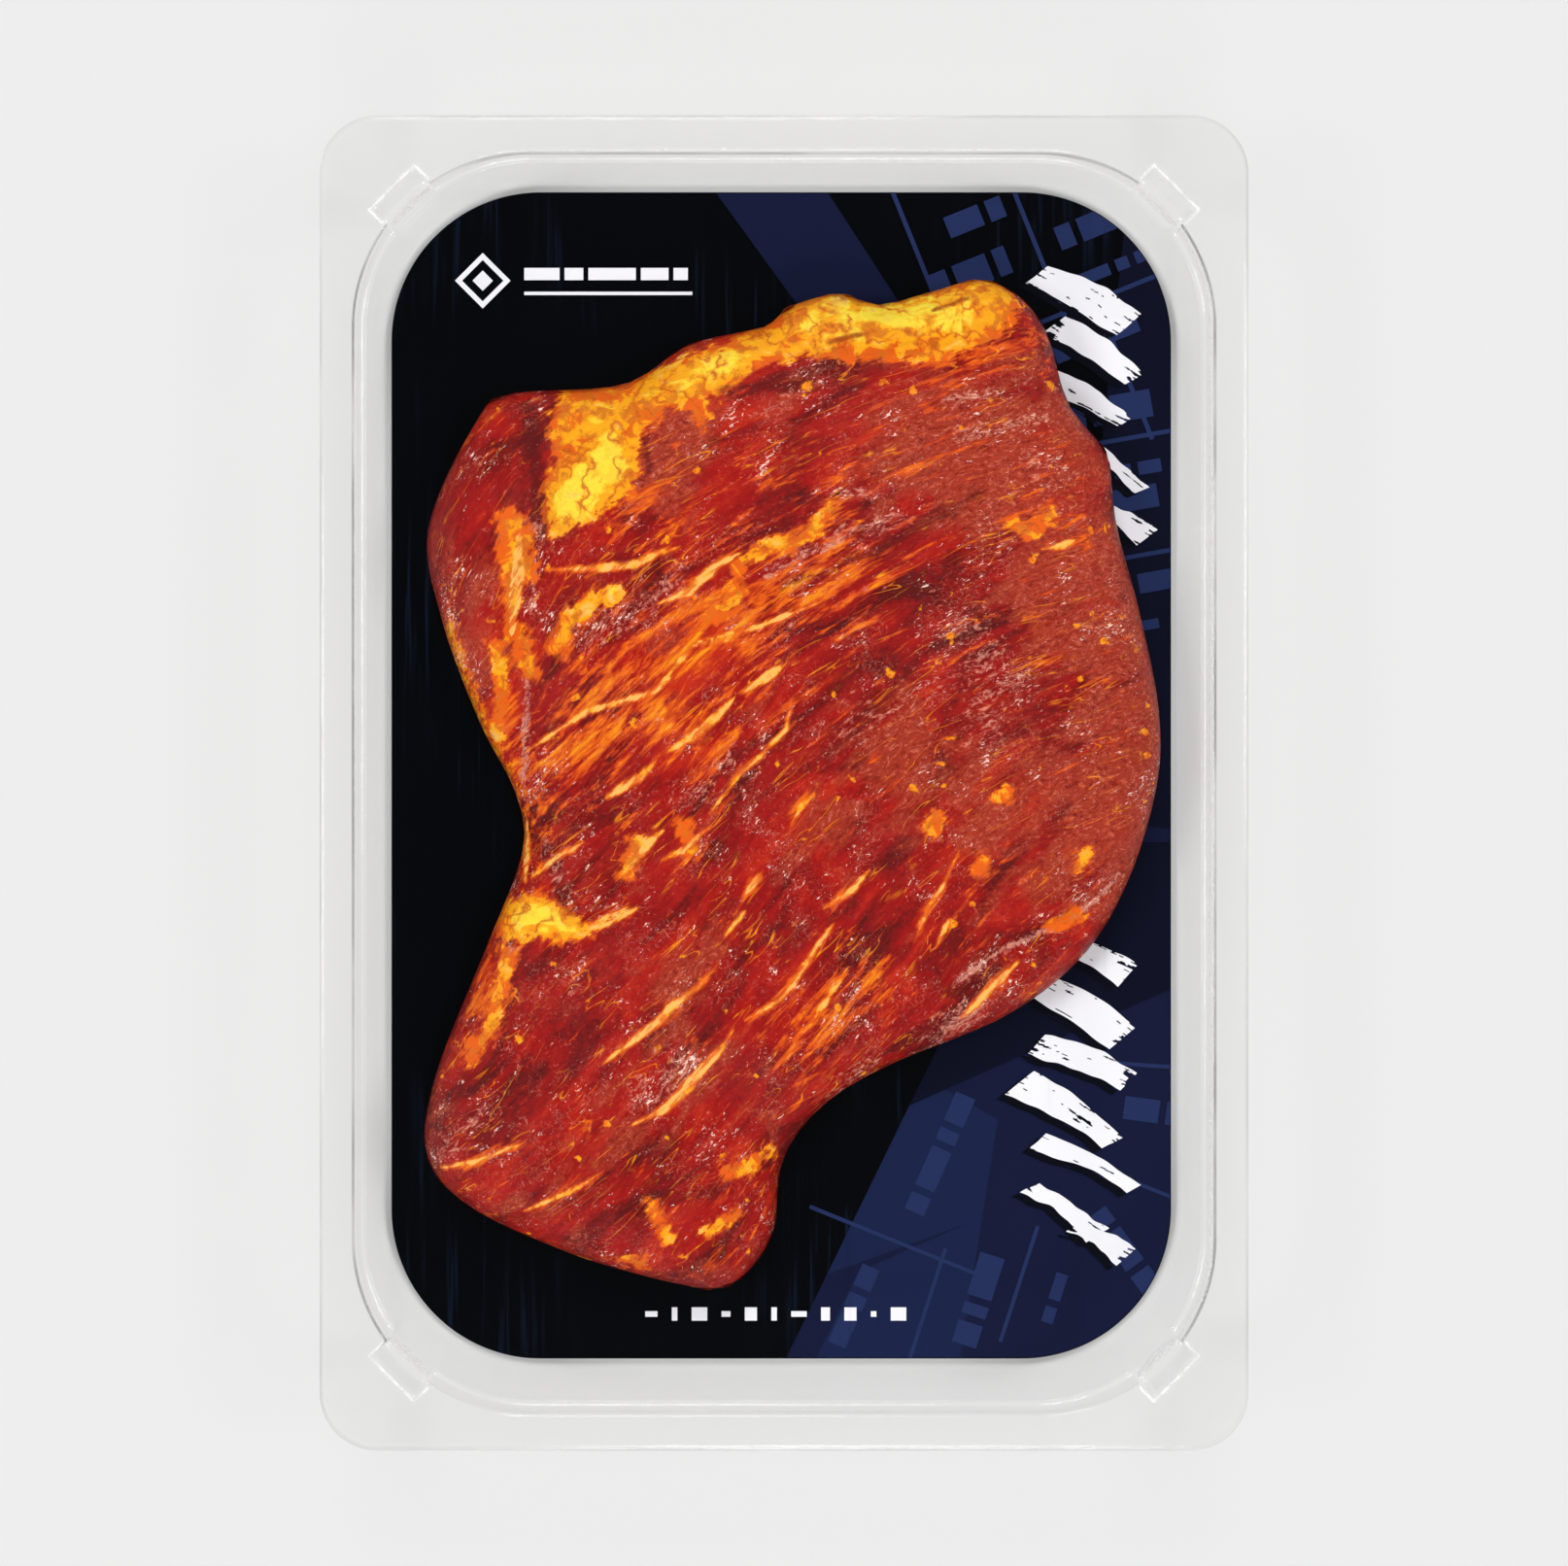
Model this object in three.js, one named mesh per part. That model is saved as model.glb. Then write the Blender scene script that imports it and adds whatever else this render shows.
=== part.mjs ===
// A retail tray pack of marinated meat: a clear thermoformed tray with a rolled flange and four
// denest lugs, a dark printed card on its floor, one boneless steak on the card, and the clear
// film sealed flat over the flange. Millimetres, +Z up, +Y towards the top of the pack. The
// origin is on the surface that the tray stands on, under the middle of the tray.

import * as THREE from 'three';
import { mergeVertices } from 'three/addons/utils/BufferGeometryUtils.js';

// Tray
const TRAY_WIDTH = 160;
const TRAY_LENGTH = 230;
const TRAY_HEIGHT = 26;
const TRAY_CORNER_RADIUS = 10;
const SHEET = 0.6;
const SKIRT_DEPTH = 1.2;
const FLANGE_EDGE_ROUND = 0.3;

// Cavity of the tray, measured at the top of its wall
const CAVITY_WIDTH = 147;
const CAVITY_LENGTH = 217;
const CAVITY_CORNER_RADIUS = 30;
const SHOULDER_RADIUS = 0.9;
const WALL_DRAFT = THREE.MathUtils.degToRad(3.5);
const LEDGE_DROP = 4.4;
const LEDGE_WIDTH = 0.8;
const LEDGE_RISE = 0.3;
const FLOOR_FILLET = 1.2;
const FILLET_STEPS = 3;

// Denest lugs, one pocket pushed out of the wall at the middle of each corner
const LUG_REACH = 3.2;
const LUG_DEPTH = 9;
const LUG_HALF_ANGLE = THREE.MathUtils.degToRad(10);
const LUG_SIDE_ANGLE = THREE.MathUtils.degToRad(1.4);
const LUG_TAPER = 0.75;
const LUG_FACE_STEPS = 4;
const CORNER_STEPS = 5;
const MERGE_DISTANCE = 1e-4;

// Card and film
const SHEET_CORNER_STEPS = 14;

// Card on the floor
const GAP = 0.3;
const CARD_INSET = 3;
const CARD_THICKNESS = 0.5;

// Film over the flange
const FILM_INSET = 1.2;
const FILM_THICKNESS = 0.2;

// Steak
const STEAK_CENTRE = new THREE.Vector2(-7.5, -9);
const STEAK_THICKNESS = 12.6;
const STEAK_EDGE_HEIGHT = 4;
const STEAK_EDGE_ROUND = 9.5;
const STEAK_TUCK = 2.6;
const STEAK_COLUMNS = 104;
const STEAK_TOP_ROWS = 18;
const STEAK_TUCK_ROWS = 3;
const STEAK_BASE_ROWS = 2;

// The steak's outline, anticlockwise from the tip at the top right
const STEAK_OUTLINE = [
  [35.5, 89], [27, 87], [17.5, 84.6], [10, 86.5], [1.3, 84.2], [-3, 80.7], [-16.5, 77.5],
  [-28.5, 70.3], [-48.5, 68.6], [-55, 63.3], [-63.3, 44.5], [-60.8, 27.8], [-54, 9.5],
  [-47.9, -2.4], [-46.4, -13], [-52.9, -30.4], [-61.8, -52.8], [-63.6, -67.2], [-56, -76.8],
  [-37, -85.6], [-18.7, -90.7], [-11, -91.4], [-5.5, -88], [-1.4, -80.8], [0.2, -68.6],
  [7.2, -59], [19, -51.7], [39.5, -43.1], [53, -33], [61.4, -20], [67, -2.5], [67.6, 11.5],
  [64.2, 29], [60, 45], [58.6, 56.5], [56, 61], [52.4, 65], [50.2, 70], [47.4, 79.6],
  [42.6, 86],
];

// Valleys and ridges of the steak's top: a path, half the width, and the height
const STEAK_RELIEF = [
  { path: [[-44, 66], [-43, 48], [-44, 34], [-47, 18], [-46, 2]], half: 3.4, height: -1.9 },
  { path: [[-33, 52], [-22, 62], [-14, 67], [-2, 75]], half: 6.5, height: 1.5 },
  { path: [[4, 80], [18, 79], [32, 82]], half: 5.5, height: 1.2 },
  { path: [[-8, 70], [4, 73.6], [28, 74], [39, 79]], half: 2.6, height: -1.3 },
  { path: [[31, -36], [40, -30], [51, -25], [59, -18]], half: 2.8, height: -2.1 },
  { path: [[-45, -15], [-38, -21], [-29, -18]], half: 4.5, height: -1.7 },
  { path: [[2, -62], [-8, -57], [-18, -58]], half: 5, height: -1.2 },
  { path: [[-57, -60], [-38, -52], [-18, -42]], half: 9, height: 1.3 },
  { path: [[-36, 22], [-12, 34], [14, 42]], half: 5, height: 0.9 },
  { path: [[-22, -6], [2, 10], [26, 22]], half: 7, height: 0.9 },
  { path: [[38, 10], [44, 26], [40, 44]], half: 9, height: 1.1 },
];
const STEAK_WAVES = [
  { length: 46, angle: 1.15, height: 0.55, phase: 0.4 },
  { length: 29, angle: 2.5, height: 0.35, phase: 1.9 },
  { length: 15, angle: 2.05, height: 0.22, phase: 0.8 },
];

// Levels
const FLOOR_TOP = SHEET;
const CARD_BASE = FLOOR_TOP + GAP;
const STEAK_BASE = CARD_BASE + CARD_THICKNESS + GAP;
const FILM_BASE = TRAY_HEIGHT + GAP;
const LEDGE_LEVEL = TRAY_HEIGHT - LEDGE_DROP;
const LUG_FOOT_LEVEL = TRAY_HEIGHT - LUG_DEPTH;
const FILLET_LEVEL = FLOOR_TOP + FLOOR_FILLET;
const SHOULDER_LEVEL = TRAY_HEIGHT - SHOULDER_RADIUS;

const clearPlastic = new THREE.MeshStandardMaterial({
  color: 0xe9ebea,
  roughness: 0.08,
  metalness: 0,
  transparent: true,
  opacity: 0.25,
});
const clearFilm = new THREE.MeshStandardMaterial({
  color: 0xf2f3f2,
  roughness: 0.05,
  metalness: 0,
  transparent: true,
  opacity: 0.12,
});
const darkCard = new THREE.MeshStandardMaterial({
  color: 0x05080f,
  roughness: 0.55,
  metalness: 0,
});
const marinatedMeat = new THREE.MeshStandardMaterial({
  color: 0xa52c16,
  roughness: 0.32,
  metalness: 0,
});

// One corner's angles from 0 to a quarter turn, closest together at the lug's sides.
function cornerAngles() {
  const middle = Math.PI / 4;
  const lugStart = middle - LUG_HALF_ANGLE;
  const faceStart = lugStart + LUG_SIDE_ANGLE;
  const before = [];
  for (let i = 0; i <= CORNER_STEPS; i += 1) {
    before.push((lugStart * i) / CORNER_STEPS);
  }
  const face = [];
  for (let i = 0; i <= LUG_FACE_STEPS; i += 1) {
    face.push(faceStart + ((middle - faceStart) * 2 * i) / LUG_FACE_STEPS);
  }
  const after = before.map((angle) => Math.PI / 2 - angle).reverse();
  return [...before, ...face, ...after];
}

// How much of the lug's reach a corner angle gets: 1 on its face, 0 off the lug.
function lugShare(angle) {
  const fromEdge = LUG_HALF_ANGLE - Math.abs(angle - Math.PI / 4);
  return THREE.MathUtils.clamp(fromEdge / LUG_SIDE_ANGLE, 0, 1);
}

// One level's closed line round the pack: a rounded rectangle, with the lugs where it has any.
function perimeter(halfWidth, halfLength, radius, lugReach) {
  const points = [];
  for (let corner = 0; corner < 4; corner += 1) {
    const signX = corner === 0 || corner === 3 ? 1 : -1;
    const signY = corner < 2 ? 1 : -1;
    for (const angle of cornerAngles()) {
      const reach = radius + lugReach * lugShare(angle);
      const turned = angle + (corner * Math.PI) / 2;
      points.push(new THREE.Vector2(
        signX * (halfWidth - radius) + reach * Math.cos(turned),
        signY * (halfLength - radius) + reach * Math.sin(turned),
      ));
    }
  }
  return points;
}

function flangeRing(inset, level) {
  const line = perimeter(
    TRAY_WIDTH / 2 - inset,
    TRAY_LENGTH / 2 - inset,
    TRAY_CORNER_RADIUS - inset,
    0,
  );
  return { line, level };
}

// Share of the lug's reach at a level: full at the flange, gone at the lug's foot.
function lugAtLevel(level) {
  if (level <= LUG_FOOT_LEVEL) {
    return 0;
  }
  if (level < LEDGE_LEVEL) {
    return (LUG_TAPER * (level - LUG_FOOT_LEVEL)) / (LEDGE_LEVEL - LUG_FOOT_LEVEL);
  }
  const up = (level - LEDGE_LEVEL) / (SHOULDER_LEVEL - LEDGE_LEVEL);
  return Math.min(1, THREE.MathUtils.lerp(LUG_TAPER, 1, up));
}

function cavityRing(inset, level, lugLevel) {
  const line = perimeter(
    CAVITY_WIDTH / 2 - inset,
    CAVITY_LENGTH / 2 - inset,
    CAVITY_CORNER_RADIUS - inset,
    LUG_REACH * lugAtLevel(lugLevel),
  );
  return { line, level };
}

// The cavity wall's rings from the floor up, on its inner face (offset 0) or its outer face.
function wallRings(offset) {
  const slope = Math.tan(WALL_DRAFT);
  const upperFoot = (SHOULDER_LEVEL - LEDGE_LEVEL) * slope;
  const lowerTop = upperFoot + LEDGE_WIDTH;
  const ledgeInner = LEDGE_LEVEL - LEDGE_RISE;
  const lugFoot = lowerTop + (ledgeInner - LUG_FOOT_LEVEL) * slope;
  const wallFoot = lowerTop + (ledgeInner - FILLET_LEVEL) * slope;
  const rings = [];
  const filletRadius = FLOOR_FILLET + offset;
  for (let i = 0; i <= FILLET_STEPS; i += 1) {
    const turn = (Math.PI / 2) * (i / FILLET_STEPS);
    const inset = wallFoot + FLOOR_FILLET - filletRadius * Math.sin(turn);
    const level = FILLET_LEVEL - filletRadius * Math.cos(turn);
    rings.push(cavityRing(inset, level, 0));
  }
  rings.push(cavityRing(lugFoot - offset, LUG_FOOT_LEVEL, LUG_FOOT_LEVEL));
  rings.push(cavityRing(lowerTop - offset, ledgeInner - offset, ledgeInner));
  rings.push(cavityRing(upperFoot - offset, LEDGE_LEVEL - offset, LEDGE_LEVEL));
  const shoulder = SHOULDER_RADIUS - offset;
  for (let i = 0; i <= FILLET_STEPS; i += 1) {
    const turn = (Math.PI / 2) * (i / FILLET_STEPS);
    const inset = -offset - shoulder * (1 - Math.cos(turn));
    const level = SHOULDER_LEVEL + shoulder * Math.sin(turn);
    rings.push(cavityRing(inset, level, TRAY_HEIGHT));
  }
  return rings;
}

// A closed skin over a list of rings, with a point at the middle of the first and the last.
function ringedSolid(rings, firstPole, lastPole) {
  const columns = rings[0].line.length;
  const geometry = new THREE.SphereGeometry(1, columns, rings.length + 1);
  const position = geometry.getAttribute('position');
  for (let i = 0; i < position.count; i += 1) {
    const stride = columns + 1;
    const row = Math.floor(i / stride);
    const column = (i % stride) % columns;
    if (row === 0) {
      position.setXYZ(i, lastPole.x, lastPole.y, lastPole.z);
    } else if (row === rings.length + 1) {
      position.setXYZ(i, firstPole.x, firstPole.y, firstPole.z);
    } else {
      const ring = rings[rings.length - row];
      const point = ring.line[column];
      const level = ring.levels ? ring.levels[column] : ring.level;
      position.setXYZ(i, point.x, point.y, level);
    }
  }
  geometry.deleteAttribute('normal');
  geometry.deleteAttribute('uv');
  const merged = mergeVertices(geometry, MERGE_DISTANCE);
  merged.computeVertexNormals();
  return merged;
}

function makeTray() {
  const outside = wallRings(SHEET);
  const inside = wallRings(0).reverse();
  const skirtFoot = TRAY_HEIGHT - SKIRT_DEPTH;
  const flange = [
    flangeRing(SHEET, TRAY_HEIGHT - SHEET),
    flangeRing(SHEET, skirtFoot),
    flangeRing(0, skirtFoot),
    flangeRing(0, TRAY_HEIGHT - FLANGE_EDGE_ROUND),
    flangeRing(FLANGE_EDGE_ROUND, TRAY_HEIGHT),
  ];
  const rings = [...outside, ...flange, ...inside];
  const underFloor = new THREE.Vector3(0, 0, 0);
  const overFloor = new THREE.Vector3(0, 0, FLOOR_TOP);
  const mesh = new THREE.Mesh(ringedSolid(rings, underFloor, overFloor), clearPlastic);
  mesh.name = 'tray';
  return mesh;
}

// A flat sheet with round corners, standing on z = 0.
function roundedSheet(width, length, radius, thickness) {
  const x = width / 2 - radius;
  const y = length / 2 - radius;
  const shape = new THREE.Shape();
  shape.absarc(x, y, radius, 0, Math.PI / 2, false);
  shape.absarc(-x, y, radius, Math.PI / 2, Math.PI, false);
  shape.absarc(-x, -y, radius, Math.PI, Math.PI * 1.5, false);
  shape.absarc(x, -y, radius, Math.PI * 1.5, Math.PI * 2, false);
  return new THREE.ExtrudeGeometry(shape, {
    depth: thickness,
    bevelEnabled: false,
    curveSegments: SHEET_CORNER_STEPS,
  });
}

function makeCard() {
  const sheet = roundedSheet(
    CAVITY_WIDTH - 2 * CARD_INSET,
    CAVITY_LENGTH - 2 * CARD_INSET,
    CAVITY_CORNER_RADIUS - CARD_INSET,
    CARD_THICKNESS,
  );
  const mesh = new THREE.Mesh(sheet, darkCard);
  mesh.name = 'card';
  mesh.position.z = CARD_BASE;
  return mesh;
}

function makeFilm() {
  const sheet = roundedSheet(
    TRAY_WIDTH - 2 * FILM_INSET,
    TRAY_LENGTH - 2 * FILM_INSET,
    TRAY_CORNER_RADIUS - FILM_INSET,
    FILM_THICKNESS,
  );
  const mesh = new THREE.Mesh(sheet, clearFilm);
  mesh.name = 'lid_film';
  mesh.position.z = FILM_BASE;
  return mesh;
}

function distanceToSegment(x, y, start, end) {
  const alongX = end[0] - start[0];
  const alongY = end[1] - start[1];
  const lengthSquared = alongX * alongX + alongY * alongY;
  const dot = (x - start[0]) * alongX + (y - start[1]) * alongY;
  const share = THREE.MathUtils.clamp(dot / lengthSquared, 0, 1);
  return Math.hypot(x - start[0] - share * alongX, y - start[1] - share * alongY);
}

function distanceToPath(x, y, path) {
  let nearest = Infinity;
  for (let i = 1; i < path.length; i += 1) {
    nearest = Math.min(nearest, distanceToSegment(x, y, path[i - 1], path[i]));
  }
  return nearest;
}

// Height of the steak's top over its underside, far from the edge.
function steakThickness(x, y) {
  let height = STEAK_THICKNESS;
  for (const { path, half, height: rise } of STEAK_RELIEF) {
    const share = distanceToPath(x, y, path) / half;
    height += rise * Math.exp(-share * share);
  }
  for (const { length, angle, height: rise, phase } of STEAK_WAVES) {
    const along = x * Math.cos(angle) + y * Math.sin(angle);
    height += rise * Math.sin((2 * Math.PI * along) / length + phase);
  }
  return height;
}

// The top falls to the edge in a quarter of an ellipse.
function steakTop(x, y, edgeDistance) {
  const near = 1 - Math.min(1, edgeDistance / STEAK_EDGE_ROUND);
  const round = Math.sqrt(1 - near * near);
  const rise = steakThickness(x, y) - STEAK_EDGE_HEIGHT;
  return STEAK_BASE + STEAK_EDGE_HEIGHT + rise * round;
}

function steakEdge() {
  const points = STEAK_OUTLINE.map(([x, y]) => new THREE.Vector3(x, y, 0));
  const curve = new THREE.CatmullRomCurve3(points, true, 'catmullrom', 0.5);
  return curve.getSpacedPoints(STEAK_COLUMNS).slice(0, STEAK_COLUMNS);
}

// One ring of the steak: the outline drawn in towards the centre.
function steakRing(edge, pull, height) {
  const line = edge.map((point) => new THREE.Vector2(
    THREE.MathUtils.lerp(STEAK_CENTRE.x, point.x, pull(point)),
    THREE.MathUtils.lerp(STEAK_CENTRE.y, point.y, pull(point)),
  ));
  return { line, levels: line.map((point) => height(point.x, point.y)) };
}

function makeSteak() {
  const edge = steakEdge();
  const closedPath = [...edge, edge[0]].map((point) => [point.x, point.y]);
  const topHeight = (x, y) => steakTop(x, y, distanceToPath(x, y, closedPath));
  const centre = STEAK_CENTRE;
  const rings = [];
  const tucked = (inward) => (point) => (
    1 - inward / Math.hypot(point.x - centre.x, point.y - centre.y)
  );
  for (let i = 1; i < STEAK_BASE_ROWS; i += 1) {
    rings.push(steakRing(edge, () => i / STEAK_BASE_ROWS, () => STEAK_BASE));
  }
  for (let i = 0; i < STEAK_TUCK_ROWS; i += 1) {
    const turn = (Math.PI / 2) * (i / STEAK_TUCK_ROWS);
    const level = STEAK_BASE + STEAK_EDGE_HEIGHT * (1 - Math.cos(turn));
    rings.push(steakRing(edge, tucked(STEAK_TUCK * (1 - Math.sin(turn))), () => level));
  }
  for (let i = STEAK_TOP_ROWS; i > 0; i -= 1) {
    const share = Math.sin((Math.PI / 2) * (i / STEAK_TOP_ROWS));
    rings.push(steakRing(edge, () => share, topHeight));
  }
  const under = new THREE.Vector3(centre.x, centre.y, STEAK_BASE);
  const over = new THREE.Vector3(centre.x, centre.y, topHeight(centre.x, centre.y));
  const mesh = new THREE.Mesh(ringedSolid(rings, under, over), marinatedMeat);
  mesh.name = 'steak';
  return mesh;
}

const pack = new THREE.Group();
pack.add(makeTray(), makeCard(), makeSteak(), makeFilm());

export default pack;
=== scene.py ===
"""Looks of a meat tray pack: one marinated steak on a dark printed card in a clear tray.

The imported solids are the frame. Every piece here stands for one of them or lies on one. The
classes hold their sizes in millimetres, and a mesh is turned into metres when it is finished.
+X is to the right of the pack, +Y towards its top edge and +Z up.
"""

import logging
import math
from collections.abc import Callable, Sequence
from dataclasses import dataclass, field
from enum import Enum

import bmesh
import bpy
import numpy as np
from mathutils import Matrix, Vector, noise


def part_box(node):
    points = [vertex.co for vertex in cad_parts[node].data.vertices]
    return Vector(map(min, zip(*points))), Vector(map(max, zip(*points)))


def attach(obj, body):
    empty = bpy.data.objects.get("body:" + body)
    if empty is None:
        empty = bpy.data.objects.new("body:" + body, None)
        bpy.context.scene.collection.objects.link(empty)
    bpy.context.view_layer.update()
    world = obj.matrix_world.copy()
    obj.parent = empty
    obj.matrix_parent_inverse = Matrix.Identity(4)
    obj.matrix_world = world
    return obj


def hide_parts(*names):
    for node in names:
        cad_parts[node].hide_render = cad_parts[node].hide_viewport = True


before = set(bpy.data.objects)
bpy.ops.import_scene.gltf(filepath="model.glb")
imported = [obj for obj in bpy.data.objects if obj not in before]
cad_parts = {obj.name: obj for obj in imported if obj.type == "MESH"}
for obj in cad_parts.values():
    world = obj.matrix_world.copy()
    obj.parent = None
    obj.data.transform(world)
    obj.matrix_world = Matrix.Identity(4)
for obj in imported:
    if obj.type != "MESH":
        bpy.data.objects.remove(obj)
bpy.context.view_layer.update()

Point = tuple[float, float]
Path = tuple[Point, ...]
Triple = tuple[float, float, float]
Colour = tuple[float, float, float, float]
Socket = bpy.types.NodeSocket
Value = bpy.types.NodeSocket | float

METRE = 0.001
CORNER_SEGMENTS = 40
LOG = logging.getLogger("meat_tray_pack")


def node_box(name: str) -> tuple[Vector, Vector]:
    """A frame node's corners in millimetres.

    Args:
        name: The node's name.

    Returns:
        Its lowest and highest corner.
    """
    low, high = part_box(name)
    return Vector(low) / METRE, Vector(high) / METRE


def srgb(red: float, green: float, blue: float) -> Colour:
    """Turns a screen colour into the linear colour that a shader takes.

    Args:
        red: Red, 0 to 255.
        green: Green, 0 to 255.
        blue: Blue, 0 to 255.

    Returns:
        The linear colour, opaque.
    """
    shares = [channel / 255 for channel in (red, green, blue)]
    linear = [s / 12.92 if s <= 0.04045 else ((s + 0.055) / 1.055) ** 2.4 for s in shares]
    return (linear[0], linear[1], linear[2], 1.0)


class Layer(Enum):
    """Height of a layer of ink over the card, in millimetres."""

    FIELD = 0.02
    BAND = 0.05
    ZONE = 0.065
    RULE = 0.08
    BLOCK = 0.12
    SHADE = 0.15
    MARK = 0.19


class Field(Enum):
    """Names of the steak's attributes, which its finish reads."""

    GRAIN = "grain"
    FAT = "fat"
    OIL = "oil"
    BROWN = "brown"
    # Pale patches: silverskin and smears, and in part a painted sheen.
    HAZE = "haze"
    # Painted shade of the valleys, folds and rounded edge, with some darker meat.
    DARK = "dark"
    RICH = "rich"
    STREAK = "streak"


class Shader:
    """A material's node tree, with short calls for the nodes that the finishes share."""

    def __init__(self, name: str) -> None:
        """Makes the material.

        Args:
            name: The material's name.
        """
        self.material = bpy.data.materials.new(name)
        self.material.use_nodes = True
        self.tree = self.material.node_tree
        self.tree.nodes.clear()
        self.output = self.tree.nodes.new("ShaderNodeOutputMaterial")

    def node(
        self, kind: str, inputs: dict[str | int, object] | None = None, **settings: object
    ) -> bpy.types.Node:
        """Adds a node.

        Args:
            kind: The node's type.
            inputs: Socket name or number to a value, or to the socket that feeds it.
            **settings: The node's own settings.

        Returns:
            The node.
        """
        made = self.tree.nodes.new(kind)
        for name, value in settings.items():
            setattr(made, name, value)
        for name, value in (inputs or {}).items():
            if isinstance(value, bpy.types.NodeSocket):
                self.tree.links.new(value, made.inputs[name])
            else:
                made.inputs[name].default_value = value
        return made

    def finish(self, surface: Socket) -> bpy.types.Material:
        """Joins the shader to the output.

        Args:
            surface: The surface shader's socket.

        Returns:
            The finished material.
        """
        self.tree.links.new(surface, self.output.inputs["Surface"])
        return self.material

    def layer(self, share: Value, under: Socket, over: Socket) -> Socket:
        """One surface over another.

        Args:
            share: How much of the upper one shows, 0 to 1.
            under: The lower surface's socket.
            over: The upper surface's socket.

        Returns:
            The mixed surface's socket.
        """
        return self.node("ShaderNodeMixShader", {0: share, 1: under, 2: over}).outputs[0]

    def diffuse(self, colour: Colour, **inputs: Value) -> Socket:
        """A matt surface of one colour."""
        return self.node("ShaderNodeBsdfDiffuse", {"Color": colour, **inputs}).outputs[0]

    def place(self) -> Socket:
        """The point on the object, in metres."""
        return self.node("ShaderNodeTexCoord").outputs["Object"]

    def millimetres(self) -> Socket:
        """The point on the object, in millimetres."""
        return self.stretch(self.place(), (1 / METRE, 1 / METRE, 1 / METRE))

    def attribute(self, name: Field, vector: bool = False) -> Socket:
        """A value painted on the mesh.

        Args:
            name: The attribute.
            vector: Whether it is a vector.

        Returns:
            The value's socket.
        """
        made = self.node("ShaderNodeAttribute", attribute_name=name.value)
        return made.outputs["Vector" if vector else "Fac"]

    def math(self, operation: str, first: Value, second: Value = 0.0) -> Socket:
        """One sum of two numbers.

        Args:
            operation: The sum's name.
            first: A number or a socket.
            second: A number or a socket.

        Returns:
            The result's socket.
        """
        return self.node("ShaderNodeMath", {0: first, 1: second}, operation=operation).outputs[0]

    def times(self, first: Value, second: Value) -> Socket:
        """Two numbers multiplied."""
        return self.math("MULTIPLY", first, second)

    def plus(self, first: Value, second: Value, share: float = 1.0) -> Socket:
        """A number with a share of another one added to it.

        Args:
            first: The number.
            second: What is added.
            share: How much of it.

        Returns:
            The result's socket.
        """
        inputs = {0: second, 1: share, 2: first}
        return self.node("ShaderNodeMath", inputs, operation="MULTIPLY_ADD").outputs[0]

    def swing(self, waves: Socket, amount: float = 1.0) -> Socket:
        """Noise from 0 to 1 turned into noise about zero.

        Args:
            waves: The noise's socket.
            amount: The whole width of its swing.

        Returns:
            The result's socket.
        """
        return self.plus(-amount / 2, waves, amount)

    def ridge(self, waves: Socket) -> Socket:
        """How far noise is from its middle, which draws lines where it is nearly 0."""
        return self.math("ABSOLUTE", self.swing(waves))

    def vector(
        self, operation: str, first: Socket, second: Socket | Triple = (0.0, 0.0, 0.0)
    ) -> bpy.types.Node:
        """One sum of two vectors.

        Args:
            operation: The sum's name.
            first: A vector's socket.
            second: A vector or its socket.

        Returns:
            The node.
        """
        return self.node("ShaderNodeVectorMath", {0: first, 1: second}, operation=operation)

    def split(self, vector: Socket) -> Sequence[Socket]:
        """A vector's three parts."""
        return self.node("ShaderNodeSeparateXYZ", {0: vector}).outputs

    def stretch(self, vector: Socket, scale: Triple) -> Socket:
        """A vector with each of its parts scaled.

        Args:
            vector: The vector's socket.
            scale: The three factors.

        Returns:
            The scaled vector's socket.
        """
        return self.vector("MULTIPLY", vector, scale).outputs[0]

    def grain(
        self, vector: Socket, scale: float | Triple, detail: float = 3.0, roughness: float = 0.55,
        distortion: float = 0.0,
    ) -> Socket:
        """Soft noise from 0 to 1.

        Args:
            vector: The socket of the place.
            scale: Waves for each unit of the place, the same or one for each of its parts.
            detail: How many finer layers.
            roughness: How strong the finer layers are.
            distortion: How far the noise is bent by itself.

        Returns:
            The noise's socket.
        """
        if isinstance(scale, tuple):
            vector = self.stretch(vector, scale)
            scale = 1.0
        made = self.node(
            "ShaderNodeTexNoise",
            {"Vector": vector, "Scale": scale, "Detail": detail, "Roughness": roughness,
             "Distortion": distortion},
        )
        return made.outputs["Fac"]

    def bend(self, vector: Socket, scale: float, amount: float) -> Socket:
        """A place pushed about by noise.

        Args:
            vector: The socket of the place.
            scale: Waves for each unit of the place.
            amount: How far it is pushed.

        Returns:
            The bent place's socket.
        """
        waves = self.node("ShaderNodeTexNoise", {"Vector": vector, "Scale": scale, "Detail": 3.0})
        centred = self.vector("SUBTRACT", waves.outputs["Color"], (0.5, 0.5, 0.5))
        pushed = self.stretch(centred.outputs[0], (amount, amount, amount))
        return self.vector("ADD", vector, pushed).outputs[0]

    def step(
        self, value: Socket, low: float, high: float, bottom: float = 0.0, top: float = 1.0
    ) -> Socket:
        """A soft step of a value.

        Args:
            value: The value's socket.
            low: Where the step starts.
            high: Where it ends.
            bottom: The result before the step.
            top: The result after it.

        Returns:
            The result's socket.
        """
        made = self.node(
            "ShaderNodeMapRange",
            {"Value": value, "From Min": low, "From Max": high, "To Min": bottom, "To Max": top},
            interpolation_type="SMOOTHSTEP",
        )
        return made.outputs["Result"]

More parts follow.
